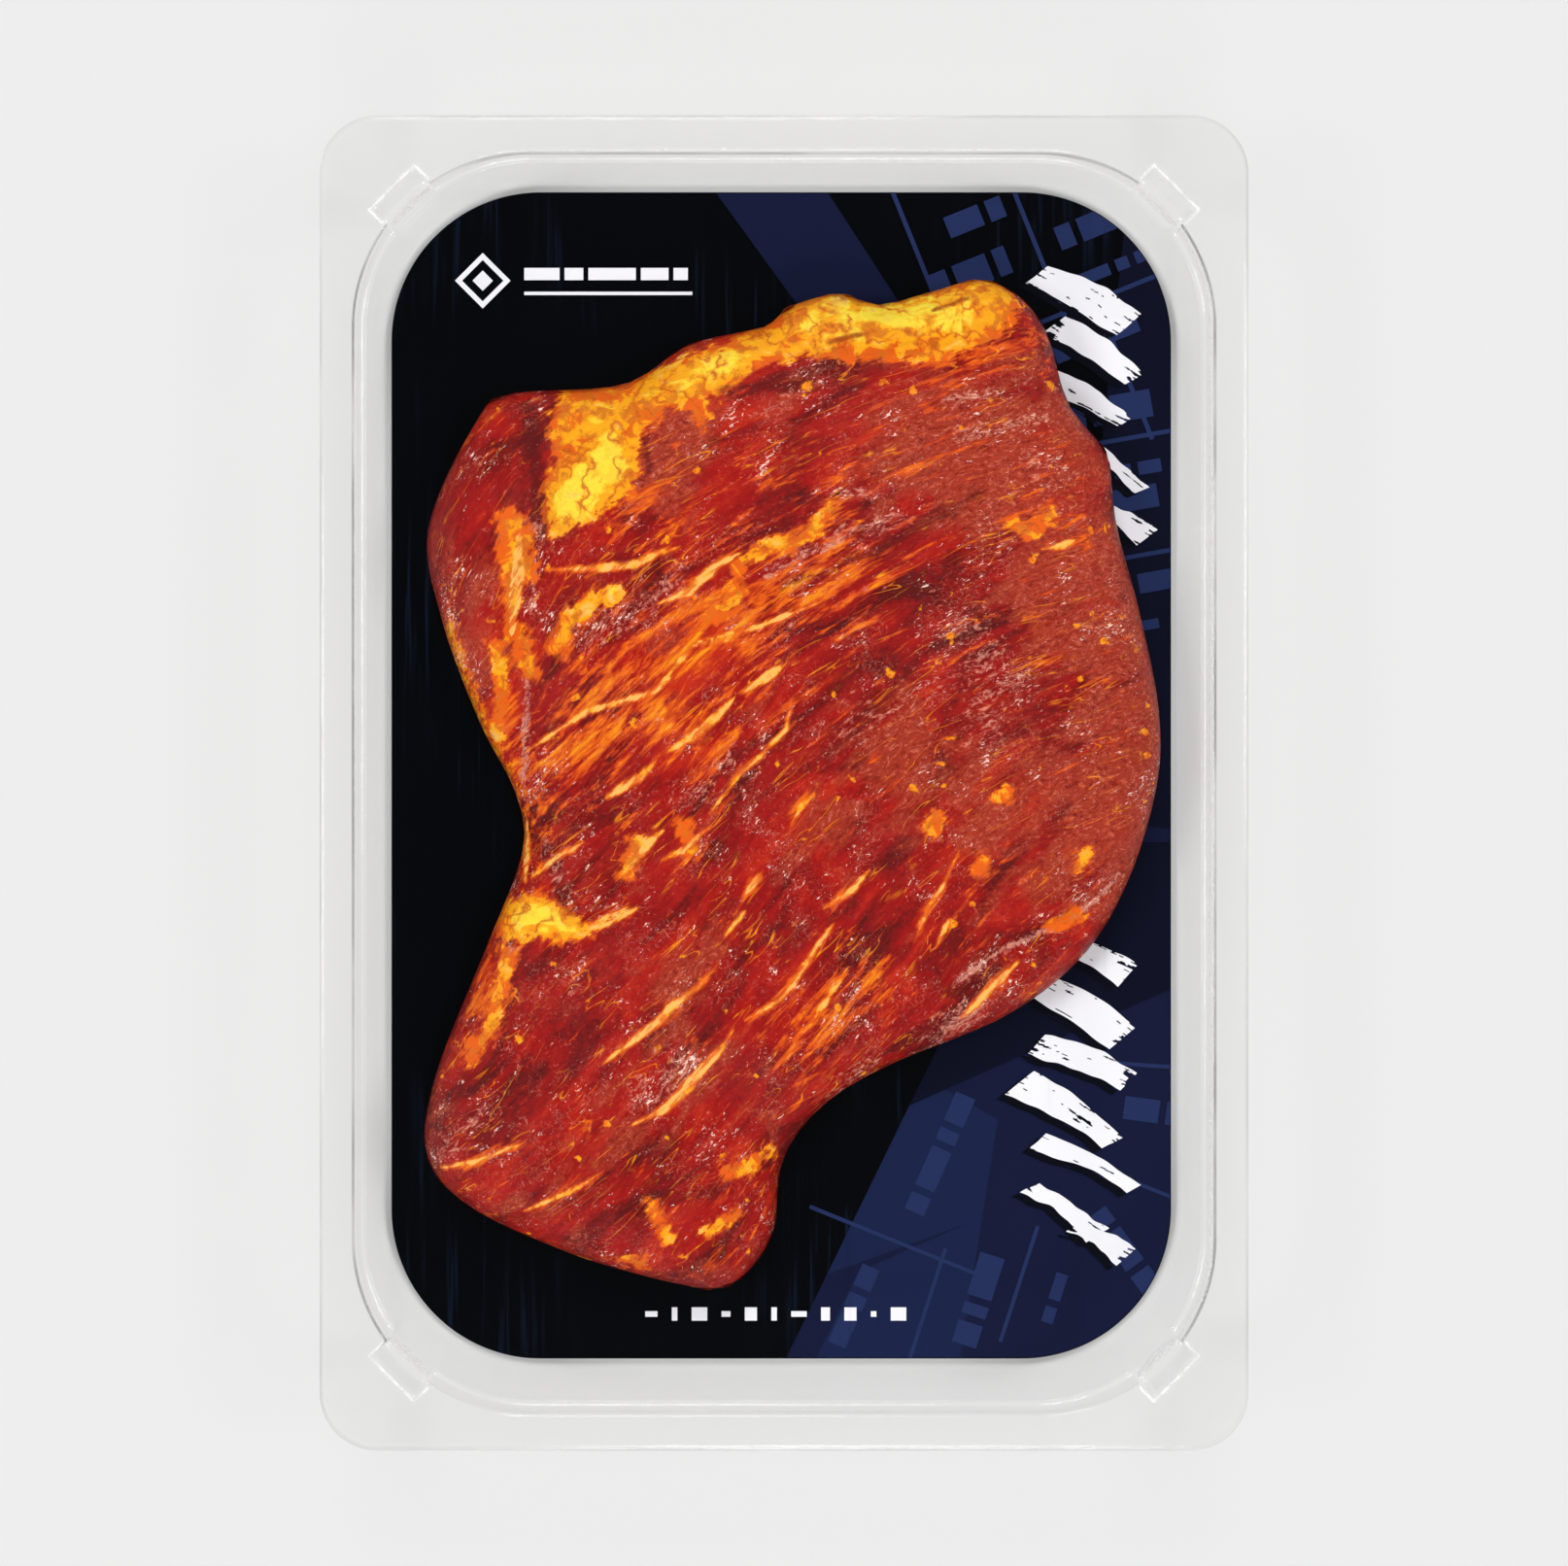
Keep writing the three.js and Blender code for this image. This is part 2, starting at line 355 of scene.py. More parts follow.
    def blend(self, share: Socket, first: Socket | Colour, second: Socket | Colour) -> Socket:
        """A mix of two colours.

        Args:
            share: How much of the second colour, 0 to 1.
            first: A colour or its socket.
            second: A colour or its socket.

        Returns:
            The mixed colour's socket.
        """
        made = self.node("ShaderNodeMix", {"Factor": share}, data_type="RGBA")
        for number, value in ((6, first), (7, second)):
            if isinstance(value, bpy.types.NodeSocket):
                self.tree.links.new(value, made.inputs[number])
            else:
                made.inputs[number].default_value = value
        return made.outputs[2]

    def ramp(self, value: Socket, stops: Sequence[tuple[float, Colour]]) -> Socket:
        """Colours along a value.

        Args:
            value: The value's socket, 0 to 1.
            stops: Places and their colours, in order.

        Returns:
            The colour's socket.
        """
        made = self.node("ShaderNodeValToRGB", {0: value})
        elements = made.color_ramp.elements
        elements[0].position, elements[0].color = stops[0]
        elements[1].position, elements[1].color = stops[-1]
        for place, colour in stops[1:-1]:
            elements.new(place).color = colour
        return made.outputs["Color"]

    def bump(
        self, height: Socket, strength: float, distance: float, under: Socket | None = None
    ) -> Socket:
        """Fine relief.

        Args:
            height: The height's socket.
            strength: How strong it is, 0 to 1.
            distance: The height of 1, in metres.
            under: The socket of relief that this one lies on.

        Returns:
            The normal's socket.
        """
        inputs = {"Height": height, "Strength": strength, "Distance": distance}
        if under is not None:
            inputs["Normal"] = under
        return self.node("ShaderNodeBump", inputs).outputs["Normal"]


class Loft:
    """A closed skin drawn ring by ring, from one end to the other."""

    def __init__(self, columns: int) -> None:
        """Starts from a circle of vertices.

        Args:
            columns: Points on each ring.
        """
        self.bm = bmesh.new()
        self.column = self.bm.verts.layers.int.new("column")
        made = bmesh.ops.create_circle(self.bm, cap_ends=False, segments=columns, radius=1.0)
        for number, vertex in enumerate(made["verts"]):
            vertex[self.column] = number
        self.verts = list(made["verts"])
        self.edges = list(self.bm.edges)
        self.first = list(self.edges)
        self.started = False

    def ring(self, line: Sequence[Point], levels: float | Sequence[float]) -> None:
        """Draws the skin on to a new ring.

        Args:
            line: The ring's points seen from above, one for each column.
            levels: The ring's height, or one height for each column.
        """
        if self.started:
            made = bmesh.ops.extrude_edge_only(self.bm, edges=self.edges)["geom"]
            self.verts = [item for item in made if isinstance(item, bmesh.types.BMVert)]
            fresh = set(self.verts)
            self.edges = [
                item for item in made
                if isinstance(item, bmesh.types.BMEdge) and fresh.issuperset(item.verts)
            ]
        self.started = True
        for vertex in self.verts:
            number = vertex[self.column]
            level = levels if isinstance(levels, (int, float)) else levels[number]
            vertex.co = (line[number][0], line[number][1], level)

    def cap(self, edges: Sequence[bmesh.types.BMEdge]) -> None:
        """Closes an end with one face, cut into a fan.

        Args:
            edges: The end's ring of edges.
        """
        made = bmesh.ops.contextual_create(self.bm, geom=list(edges))
        bmesh.ops.poke(self.bm, faces=made["faces"])

    def close(self) -> bmesh.types.BMesh:
        """Closes the ends and turns the faces outwards.

        Returns:
            The mesh.
        """
        self.cap(self.edges)
        self.cap(self.first)
        bmesh.ops.recalc_face_normals(self.bm, faces=self.bm.faces)
        self.bm.verts.layers.int.remove(self.column)
        return self.bm


def add_piece(
    name: str, bm: bmesh.types.BMesh, material: bpy.types.Material,
    node: str | None = None, smooth: bool = True,
) -> bpy.types.Object:
    """Turns a mesh in millimetres into a piece of the pack.

    Args:
        name: The piece's name.
        bm: The mesh, which is freed.
        material: Its finish.
        node: The frame's node that it stands for.
        smooth: Whether its faces are shaded as one surface.

    Returns:
        The piece.
    """
    bmesh.ops.scale(bm, verts=bm.verts, vec=(METRE, METRE, METRE))
    for face in bm.faces:
        face.smooth = smooth
    mesh = bpy.data.meshes.new(name)
    bm.to_mesh(mesh)
    bm.free()
    mesh.materials.append(material)
    piece = bpy.data.objects.new(name, mesh)
    bpy.context.scene.collection.objects.link(piece)
    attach(piece, "root")
    if node is not None:
        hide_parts(node)
    LOG.info("%s: %d faces, for %s", name, len(mesh.polygons), node or "the card's print")
    return piece


def rounded_sheet(half_width: float, half_length: float, radius: float) -> bmesh.types.BMesh:
    """One flat face with round corners, at height 0.

    Args:
        half_width: Half its size along X.
        half_length: Half its size along Y.
        radius: Radius of its corners.

    Returns:
        The mesh.
    """
    bm = bmesh.new()
    bmesh.ops.create_grid(bm, x_segments=1, y_segments=1, size=1.0)
    bmesh.ops.scale(bm, verts=bm.verts, vec=(half_width, half_length, 1.0))
    bmesh.ops.bevel(
        bm, geom=list(bm.verts), offset=radius, offset_type="OFFSET", affect="VERTICES",
        segments=CORNER_SEGMENTS, profile=0.5, material=-1,
    )
    return bm


def thicken(bm: bmesh.types.BMesh, base: float, top: float) -> None:
    """Raises flat faces into a solid between two heights.

    Args:
        bm: The mesh, with its faces flat at height 0.
        base: Height of the underside.
        top: Height of the top.
    """
    bmesh.ops.translate(bm, verts=bm.verts, vec=(0, 0, base))
    made = bmesh.ops.extrude_face_region(bm, geom=list(bm.faces), use_keep_orig=True)
    raised = [item for item in made["geom"] if isinstance(item, bmesh.types.BMVert)]
    bmesh.ops.translate(bm, verts=raised, vec=(0, 0, top - base))
    bmesh.ops.recalc_face_normals(bm, faces=bm.faces)


@dataclass(frozen=True)
class ClearPlastic:
    """Thermoformed clear sheet: see-through from in front, milky along its folds, and glossy.

    A painted shadow line runs along the fold at the mouth, with a painted highlight line inside it
    on the right, and a faint painted shadow line along the outer edge; they stand for the dark and
    light lines that the bent sheet shows. Their outlines are half a width, half a length and a
    corner radius, in millimetres. Painted highlight lines run round the lugs, which reach out of the
    corners.
    """

    name: str = "clear tray plastic"
    tint: Colour = (0.998, 0.998, 0.996, 1.0)
    milk: Colour = srgb(245, 245, 244)
    milk_share: float = 0.055
    ior: float = 1.34
    shine_limit: float = 0.045
    roughness: float = 0.07
    ripple: float = 90.0
    ripple_strength: float = 0.35
    ripple_height: float = 0.0001
    fold_power: float = 1.6
    # Painted shade: the colour of the dark lines at the mouth and along the outer edge.
    shadow: Colour = srgb(60, 62, 62)
    # Outline and strength of the painted shadow line at the mouth.
    mouth: Triple = (74.2, 108.4, 30.0)
    mouth_shadow_share: float = 0.36
    mouth_level: float = 24.3
    # Outline and strength of the painted highlight line inside the mouth's fold.
    painted_glint: Triple = (73.5, 107.7, 29.3)
    painted_glint_share: float = 0.4
    # Painted highlight: the colour of the light lines.
    light: Colour = srgb(255, 255, 255)
    # Place, size and strength of the painted highlight lines round the lugs.
    lug_corner: Triple = (43.5, 78.5, 0.0)
    lug_from: float = 30.8
    lug_to: float = 34.0
    lug_half: float = 5.5
    lug_share: float = 0.36
    # Outline and strength of the faint painted shadow line along the outer edge.
    edge: Triple = (79.8, 114.8, 9.8)
    edge_shadow_share: float = 0.12

    def line(self, shader: Shader, outline: Triple, share: float) -> Socket:
        """A thin line along a rounded rectangle, seen from above.

        Args:
            shader: The material's nodes.
            outline: Half the rectangle's width, half its length and its corners' radius.
            share: How strong the line is.

        Returns:
            The line's strength at the place.
        """
        half_width, half_length, radius = outline
        away = shader.vector("ABSOLUTE", shader.stretch(shader.millimetres(), (1.0, 1.0, 0.0)))
        corner = (half_width - radius, half_length - radius, 0.0)
        beyond = shader.vector("SUBTRACT", away.outputs[0], corner)
        held = shader.vector("MAXIMUM", beyond.outputs[0])
        reach = shader.vector("LENGTH", held.outputs[0]).outputs["Value"]
        gap = shader.math("ABSOLUTE", shader.math("SUBTRACT", reach, radius))
        return shader.step(gap, 0.08, 0.3, share, 0.0)

    def painted_shadow_lines(self, shader: Shader) -> Socket:
        """The painted shadow lines at the mouth and at the outer edge, uneven along their way.

        Args:
            shader: The material's nodes.

        Returns:
            Their strength at the place.
        """
        place = shader.millimetres()
        split = shader.split(place)
        high = shader.step(split[2], self.mouth_level, self.mouth_level + 0.4)
        fading = shader.step(split[1], -108.0, -92.0, 0.15, 1.0)
        mouth = shader.times(shader.times(self.line(shader, self.mouth, self.mouth_shadow_share), high), fading)
        edge = self.line(shader, self.edge, self.edge_shadow_share)
        uneven = shader.step(shader.grain(place, 0.035, 2.0), 0.35, 0.62, 0.35, 1.0)
        return shader.times(shader.math("MAXIMUM", mouth, edge), uneven)

    def lug_highlight(self, shader: Shader) -> Socket:
        """The painted highlight line round each lug, which is a rectangle turned by half a right angle.

        Args:
            shader: The material's nodes.

        Returns:
            Its strength at the place.
        """
        away = shader.vector("ABSOLUTE", shader.millimetres()).outputs[0]
        split = shader.split(shader.vector("SUBTRACT", away, self.lug_corner).outputs[0])
        diagonal = math.sqrt(0.5)
        out = shader.times(shader.math("ADD", split[0], split[1]), diagonal)
        side = shader.times(shader.math("SUBTRACT", split[0], split[1]), diagonal)
        middle = (self.lug_from + self.lug_to) / 2
        long = shader.math("ABSOLUTE", shader.math("SUBTRACT", out, middle))
        long = shader.math("SUBTRACT", long, (self.lug_to - self.lug_from) / 2)
        wide = shader.math("SUBTRACT", shader.math("ABSOLUTE", side), self.lug_half)
        gap = shader.math("ABSOLUTE", shader.math("MAXIMUM", long, wide))
        return shader.step(gap, 0.1, 0.4, self.lug_share, 0.0)

    def lights(self, shader: Shader) -> Socket:
        """The painted highlight lines round the lugs and inside the mouth's fold, broken along their way.

        Args:
            shader: The material's nodes.

        Returns:
            Their strength at the place.
        """
        place = shader.millimetres()
        split = shader.split(place)
        high = shader.step(split[2], self.mouth_level, self.mouth_level + 0.4)
        right = shader.times(high, shader.step(split[0], 10.0, 50.0))
        painted_glint = shader.times(self.line(shader, self.painted_glint, self.painted_glint_share), right)
        broken = shader.step(shader.grain(place, 0.5, 2.0), 0.4, 0.58, 0.25, 1.0)
        return shader.times(shader.math("MAXIMUM", self.lug_highlight(shader), painted_glint), broken)

    def material(self) -> bpy.types.Material:
        """The finish's material."""
        shader = Shader(self.name)
        waves = shader.grain(shader.place(), self.ripple, detail=2.0)
        normal = shader.bump(waves, self.ripple_strength, self.ripple_height)
        fold = shader.node("ShaderNodeLayerWeight", {"Blend": 0.5}).outputs["Facing"]
        cloudy = shader.times(shader.math("POWER", fold, self.fold_power), self.milk_share)
        clear = shader.node("ShaderNodeBsdfTransparent", {"Color": self.tint}).outputs[0]
        share = shader.node("ShaderNodeFresnel", {"IOR": self.ior, "Normal": normal}).outputs[0]
        shine = shader.math("MINIMUM", share, self.shine_limit)
        gloss = shader.node("ShaderNodeBsdfGlossy", {"Roughness": self.roughness, "Normal": normal})
        surface = shader.layer(cloudy, clear, shader.diffuse(self.milk, Normal=normal))
        surface = shader.layer(shine, surface, gloss.outputs[0])
        # Painted shade: dark lines at the mouth and along the outer edge.
        surface = shader.layer(self.painted_shadow_lines(shader), surface, shader.diffuse(self.shadow))
        # Painted highlights: light lines round the lugs and inside the mouth's fold.
        surface = shader.layer(self.lights(shader), surface, shader.diffuse(self.light))
        return shader.finish(surface)


@dataclass(frozen=True)
class ClearFilm:
    """Stretched lidding film: clear from above, with a gloss at low angles."""

    name: str = "clear lid film"
    ior: float = 1.22
    shine_limit: float = 0.3
    roughness: float = 0.06
    ripple: float = 45.0
    ripple_strength: float = 0.3
    ripple_height: float = 0.0003

    def material(self) -> bpy.types.Material:
        """The finish's material."""
        shader = Shader(self.name)
        stretched = shader.stretch(shader.place(), (1.0, 0.35, 1.0))
        waves = shader.grain(stretched, self.ripple, detail=2.0)
        normal = shader.bump(waves, self.ripple_strength, self.ripple_height)
        share = shader.node("ShaderNodeFresnel", {"IOR": self.ior, "Normal": normal}).outputs[0]
        inner = shader.node("ShaderNodeNewGeometry").outputs["Backfacing"]
        outer = shader.times(share, shader.math("SUBTRACT", 1.0, inner))
        shine = shader.math("MINIMUM", outer, self.shine_limit)
        clear = shader.node("ShaderNodeBsdfTransparent").outputs[0]
        gloss = shader.node("ShaderNodeBsdfGlossy", {"Roughness": self.roughness, "Normal": normal})
        return shader.finish(shader.layer(shine, clear, gloss.outputs[0]))


@dataclass(frozen=True)
class Ink:
    """Satin ink on the card, with faint streaks along the pack."""

    name: str
    colour: Colour
    streak: Colour
    streak_share: float = 0.5
    roughness: float = 0.35
    specular: float = 0.04

    def material(self) -> bpy.types.Material:
        """The finish's material."""
        shader = Shader(self.name)
        place = shader.place()
        lines = shader.grain(place, (900.0, 26.0, 1.0), detail=3.0)
        cloud = shader.grain(place, 22.0, detail=2.0)
        worn = shader.times(shader.step(lines, 0.52, 0.74), shader.step(cloud, 0.4, 0.7))
        share = shader.times(worn, self.streak_share)
        colour = shader.blend(share, self.colour, self.streak)
        paper = shader.grain(place, 1400.0, detail=1.0)
        body = shader.node(
            "ShaderNodeBsdfPrincipled",
            {"Base Color": colour, "Roughness": self.roughness,
             "Specular IOR Level": self.specular, "Normal": shader.bump(paper, 0.1, 0.00003)},
        )
        return shader.finish(body.outputs[0])


@dataclass(frozen=True)
class Surface:
    """The meat's nodes, with the sockets that its layers of colour share.

    They are the place in millimetres, the place along and across the grain, the fine fibres from 0
    to 1, and the fine fibrous specks from 0 to 1.
    """

    shader: Shader
    place: Socket
    grain: Socket
    fine: Socket
    speck: Socket


@dataclass(frozen=True)
class MarinatedMeat:
    """Wet marinated meat: red lean with a grain, orange oil drawn into it, and yellow fat, with
    painted shade in its hollows, some painted sheen and painted glints.

    Noise is measured in waves for each millimetre, along and across the grain where it follows it.
    """

    name: str = "marinated meat"
    blood: Colour = srgb(92, 7, 8)
    deep_red: Colour = srgb(132, 10, 8)
    red: Colour = srgb(164, 14, 8)
    ember: Colour = srgb(196, 40, 10)
    brick_dark: Colour = srgb(122, 22, 14)
    brick: Colour = srgb(166, 50, 28)
    brick_pale: Colour = srgb(200, 96, 68)
    orange: Colour = srgb(234, 98, 10)
    amber: Colour = srgb(252, 170, 16)
    yellow: Colour = srgb(255, 222, 60)
    butter: Colour = srgb(255, 188, 96)
    vein: Colour = srgb(158, 58, 10)
    rind: Colour = srgb(216, 112, 22)
    pink: Colour = srgb(222, 146, 122)
    smoke: Colour = srgb(176, 118, 108)
    # Painted highlight: the colour of the wet glints.
    painted_glint: Colour = srgb(255, 222, 206)
    roughness: float = 0.5
    specular: float = 0.05
    coat: float = 0.36
    coat_roughness: float = 0.08
    coat_ior: float = 1.35
    fibre_strength: float = 0.6
    fibre_height: float = 0.0009
    speck_strength: float = 0.4
    speck_height: float = 0.0004

    def lean(self, at: Surface) -> Socket:
        """Colour of the lean: glassy reds, and brick-coloured haze where it has dried.

        Args:
            at: The meat's nodes.

        Returns:
            The colour's socket.
        """
        shader = at.shader
        flow = shader.grain(at.grain, (0.05, 0.16, 0.1), 5.0, 0.62, 0.7)
        reds = shader.ramp(
            shader.plus(flow, shader.swing(at.speck, 0.35)),
            ((0.34, self.blood), (0.43, self.deep_red), (0.55, self.red), (0.7, self.ember)),
        )
        bricks = shader.ramp(
            at.speck,
            ((0.36, self.brick_dark), (0.46, self.brick), (0.54, self.brick), (0.64, self.brick_pale)),
        )
        cloud = shader.grain(at.grain, (0.06, 0.12, 0.1), 5.0, 0.62, 0.5)
        dried = shader.plus(shader.attribute(Field.BROWN), shader.swing(cloud, 3.6))
        return shader.blend(shader.step(dried, 0.15, 0.75, 0.0, 0.92), reds, bricks)

    def oil(self, at: Surface, under: Socket) -> Socket:
        """Orange oil that has drawn into the grain, in strands and in thin threads.

        Args:
            at: The meat's nodes.
            under: The socket of the colour under it.

        Returns:
            The colour's socket.
        """
        shader = at.shader
        strands = shader.grain(at.grain, (0.09, 0.5, 0.4), 5.0, 0.66, 0.5)
        drawn = shader.plus(strands, shader.attribute(Field.OIL), 0.26)
        value = shader.plus(drawn, shader.swing(at.fine, 0.5))
        warm = shader.ramp(
            shader.step(value, 0.58, 0.95),
            ((0.0, self.ember), (0.45, self.orange), (1.0, self.amber)),
        )
        glowing = shader.blend(shader.step(value, 0.59, 0.73, 0.0, 0.92), under, warm)
        bent = shader.grain(at.grain, (0.06, 0.4, 0.3), 2.0, 0.5, 0.6)
        patches = shader.grain(at.grain, (0.1, 0.22, 0.2), 2.0)
        lines = shader.step(shader.ridge(bent), 0.0, 0.016, 0.85, 0.0)
        thread = shader.times(lines, shader.step(patches, 0.48, 0.6))
        threads = shader.blend(shader.step(at.fine, 0.42, 0.62), self.orange, self.amber)
        return shader.blend(thread, glowing, threads)

    def shade(self, at: Surface, under: Socket) -> Socket:
        """Painted shade: dark red between the fibres, in the valleys and at the rounded edge.

        Args:
            at: The meat's nodes.
            under: The socket of the colour under it.

        Returns:
            The colour's socket.
        """
        shader = at.shader
        # Painted shade: darker between the fine fibres, and where the dark field marks valleys and the
        # rounded edge.
        between = shader.math("SUBTRACT", 0.52, at.fine)
        depth = shader.plus(shader.attribute(Field.DARK), between, 2.2)
        return shader.blend(shader.step(depth, 0.3, 1.1, 0.0, 0.88), under, self.blood)

    def haze(self, at: Surface, under: Socket) -> Socket:
        """Pale silverskin and dried smears with some painted sheen, pale specks painted as sparkle
        and painted wet glints, in fine broken specks.

        Args:
            at: The meat's nodes.
            under: The socket of the colour under it.

        Returns:
            The colour's socket.
        """
        shader = at.shader
        misty = shader.attribute(Field.HAZE)
        # Pale patches: silverskin and dried smears, and in part a painted sheen of the wet surface.
        smears = shader.grain(at.grain, (0.22, 0.6, 0.4), 5.0, 0.72, 0.9)
        pale = shader.plus(shader.plus(smears, misty, 0.3), shader.swing(at.speck, 1.3))
        tone = shader.blend(shader.step(at.speck, 0.42, 0.6), self.smoke, self.pink)
        misted = shader.blend(shader.step(pale, 0.68, 0.94, 0.0, 0.85), under, tone)
        # Painted sparkle: fine pale specks in patches, in the pale brick colour.
        sparkle_grain = shader.grain(at.place, 1.5, 3.0, 0.7)
        patches = shader.grain(at.place, 0.13, 4.0, 0.6)
        strewn = shader.plus(sparkle_grain, shader.swing(patches, 0.9))
        sparkled = shader.blend(shader.step(strewn, 0.64, 0.8, 0.0, 0.55), misted, self.brick_pale)
        # Painted highlights: small wet glints in patches.
        glint_grain = shader.grain(at.grain, (0.9, 2.0, 1.4), 2.0, 0.6, 1.0)
        painted_glint_mask = shader.plus(shader.plus(glint_grain, shader.swing(patches, 0.7)), misty, 0.05)
        return shader.blend(shader.step(painted_glint_mask, 0.69, 0.78, 0.0, 0.95), sparkled, self.painted_glint)

    def crumbs(self, at: Surface, under: Socket) -> Socket:
        """Hair-fine fibres and crumbs of spice.

        Args:
            at: The meat's nodes.
            under: The socket of the colour under it.

        Returns:
            The colour's socket.
        """
        shader = at.shader
        curled = shader.grain(at.place, 0.34, 1.0, 0.5, 2.4)
        patches = shader.grain(at.place, 0.12, 3.0)
        lines = shader.step(shader.ridge(curled), 0.0, 0.013, 0.5, 0.0)
        hair = shader.times(lines, shader.step(patches, 0.49, 0.58))
        haired = shader.blend(hair, under, self.pink)
        cells = shader.node(
            "ShaderNodeTexVoronoi",
            {"Vector": shader.bend(at.place, 0.45, 3.2), "Scale": 0.2, "Randomness": 1.0}, feature="F1",
        )
        lot = shader.node("ShaderNodeSeparateColor", {0: cells.outputs["Color"]}).outputs
        chance = shader.plus(lot[0], shader.attribute(Field.BROWN), 0.5)
        near = shader.plus(cells.outputs["Distance"], lot[1], -0.12)
        crumb = shader.times(shader.step(near, 0.03, 0.1, 0.95, 0.0), shader.step(chance, 0.66, 0.74))
        tone = shader.blend(shader.step(at.speck, 0.38, 0.58), self.orange, self.amber)
        return shader.blend(crumb, haired, tone)

    def fat(self, at: Surface, under: Socket) -> Socket:
        """Yellow fat: ragged in the grain, lumpy and veined where it is thick.

        Args:
            at: The meat's nodes.
            under: The socket of the colour under it.

        Returns:
            The colour's socket.
        """
        shader = at.shader
        torn = shader.grain(at.grain, (0.22, 1.1, 0.8), 4.0, 0.62)
        crumbled = shader.grain(at.place, 0.36, 5.0, 0.62)
        bitten = shader.swing(crumbled, 5.0)
        ragged = shader.plus(shader.swing(torn, 4.5), bitten)
        area = shader.plus(shader.attribute(Field.FAT), ragged)
        line = shader.split(shader.attribute(Field.STREAK, vector=True))
        strand = shader.math("SUBTRACT", line[1], shader.math("ABSOLUTE", line[0]))
        strand = shader.plus(strand, ragged, 0.3)
        depth = shader.math("MAXIMUM", area, strand)
        lump = shader.grain(at.place, 0.18, 5.0, 0.62, 0.8)
        ripe = shader.plus(shader.swing(lump, 3.6), depth, 0.09)
        ripe = shader.plus(ripe, shader.attribute(Field.RICH), 0.55)
        body = shader.ramp(
            ripe, ((0.0, self.orange), (0.2, self.amber), (0.56, self.amber), (0.9, self.yellow))
        )
        pearls = shader.times(shader.step(lump, 0.54, 0.64), shader.step(crumbled, 0.5, 0.6, 0.0, 0.8))
        body = shader.blend(pearls, body, self.butter)
        curled = shader.grain(shader.bend(at.place, 0.25, 4.0), 0.24, 1.0, 0.5)
        frayed = shader.plus(shader.swing(curled), shader.swing(crumbled, 0.3))
        off = shader.math("ABSOLUTE", frayed)
        patches = shader.grain(at.place, 0.14, 2.0)
        thick = shader.times(shader.step(depth, 0.5, 1.6), shader.step(patches, 0.4, 0.52))
        shadow = shader.times(shader.step(off, 0.0, 0.09, 0.75, 0.0), thick)
        body = shader.blend(shadow, body, self.orange)
        rough = shader.step(crumbled, 0.41, 0.5, 0.8, 0.0)
        mottle = shader.times(rough, shader.step(ripe, 0.35, 0.8, 1.0, 0.2))
        body = shader.blend(mottle, body, self.rind)
        crack = shader.times(shader.step(off, 0.0, 0.03, 0.45, 0.0), thick)
        # The painted shade of the valleys and the rounded edge, broken by noise, darkens the fat to the vein
        # colour.
        dark_and_shade = shader.plus(shader.attribute(Field.DARK), bitten, 0.3)
        gap = shader.math("MAXIMUM", crack, shader.step(dark_and_shade, 0.45, 0.9, 0.0, 0.9))
        body = shader.blend(gap, body, self.vein)
        core = shader.times(shader.step(strand, 0.1, 0.45), shader.step(torn, 0.42, 0.56, 0.1, 1.0))
        body = shader.blend(core, body, self.butter)
        round_area = shader.step(area, -0.8, 0.1, 0.0, 0.75)
        glow = shader.math("MAXIMUM", round_area, shader.step(strand, -0.35, 0.1, 0.0, 0.6))
        rim = shader.blend(glow, under, self.orange)
        return shader.blend(shader.step(depth, -0.05, 0.3), rim, body)

    def material(self) -> bpy.types.Material:
        """The finish's material."""
        shader = Shader(self.name)
        grain = shader.attribute(Field.GRAIN, vector=True)
        fine = shader.grain(shader.bend(grain, 0.08, 3.0), (0.22, 1.0, 0.8), 5.0, 0.7, 0.4)
        speck = shader.grain(shader.bend(grain, 0.22, 4.0), (0.85, 1.6, 1.4), 4.0, 0.72, 0.4)
        at = Surface(shader, shader.millimetres(), grain, fine, speck)
        colour = self.lean(at)
        for layer in (self.oil, self.shade, self.haze, self.crumbs, self.fat):
            colour = layer(at, colour)
        relief = shader.bump(fine, self.fibre_strength, self.fibre_height)
        relief = shader.bump(speck, self.speck_strength, self.speck_height, relief)
        body = shader.node(
            "ShaderNodeBsdfPrincipled",
            {"Base Color": colour, "Roughness": self.roughness,
             "Specular IOR Level": self.specular, "Coat Weight": self.coat,
             "Coat Roughness": self.coat_roughness, "Coat IOR": self.coat_ior,
             "Normal": relief, "Coat Normal": relief},
        )
        return shader.finish(body.outputs[0])


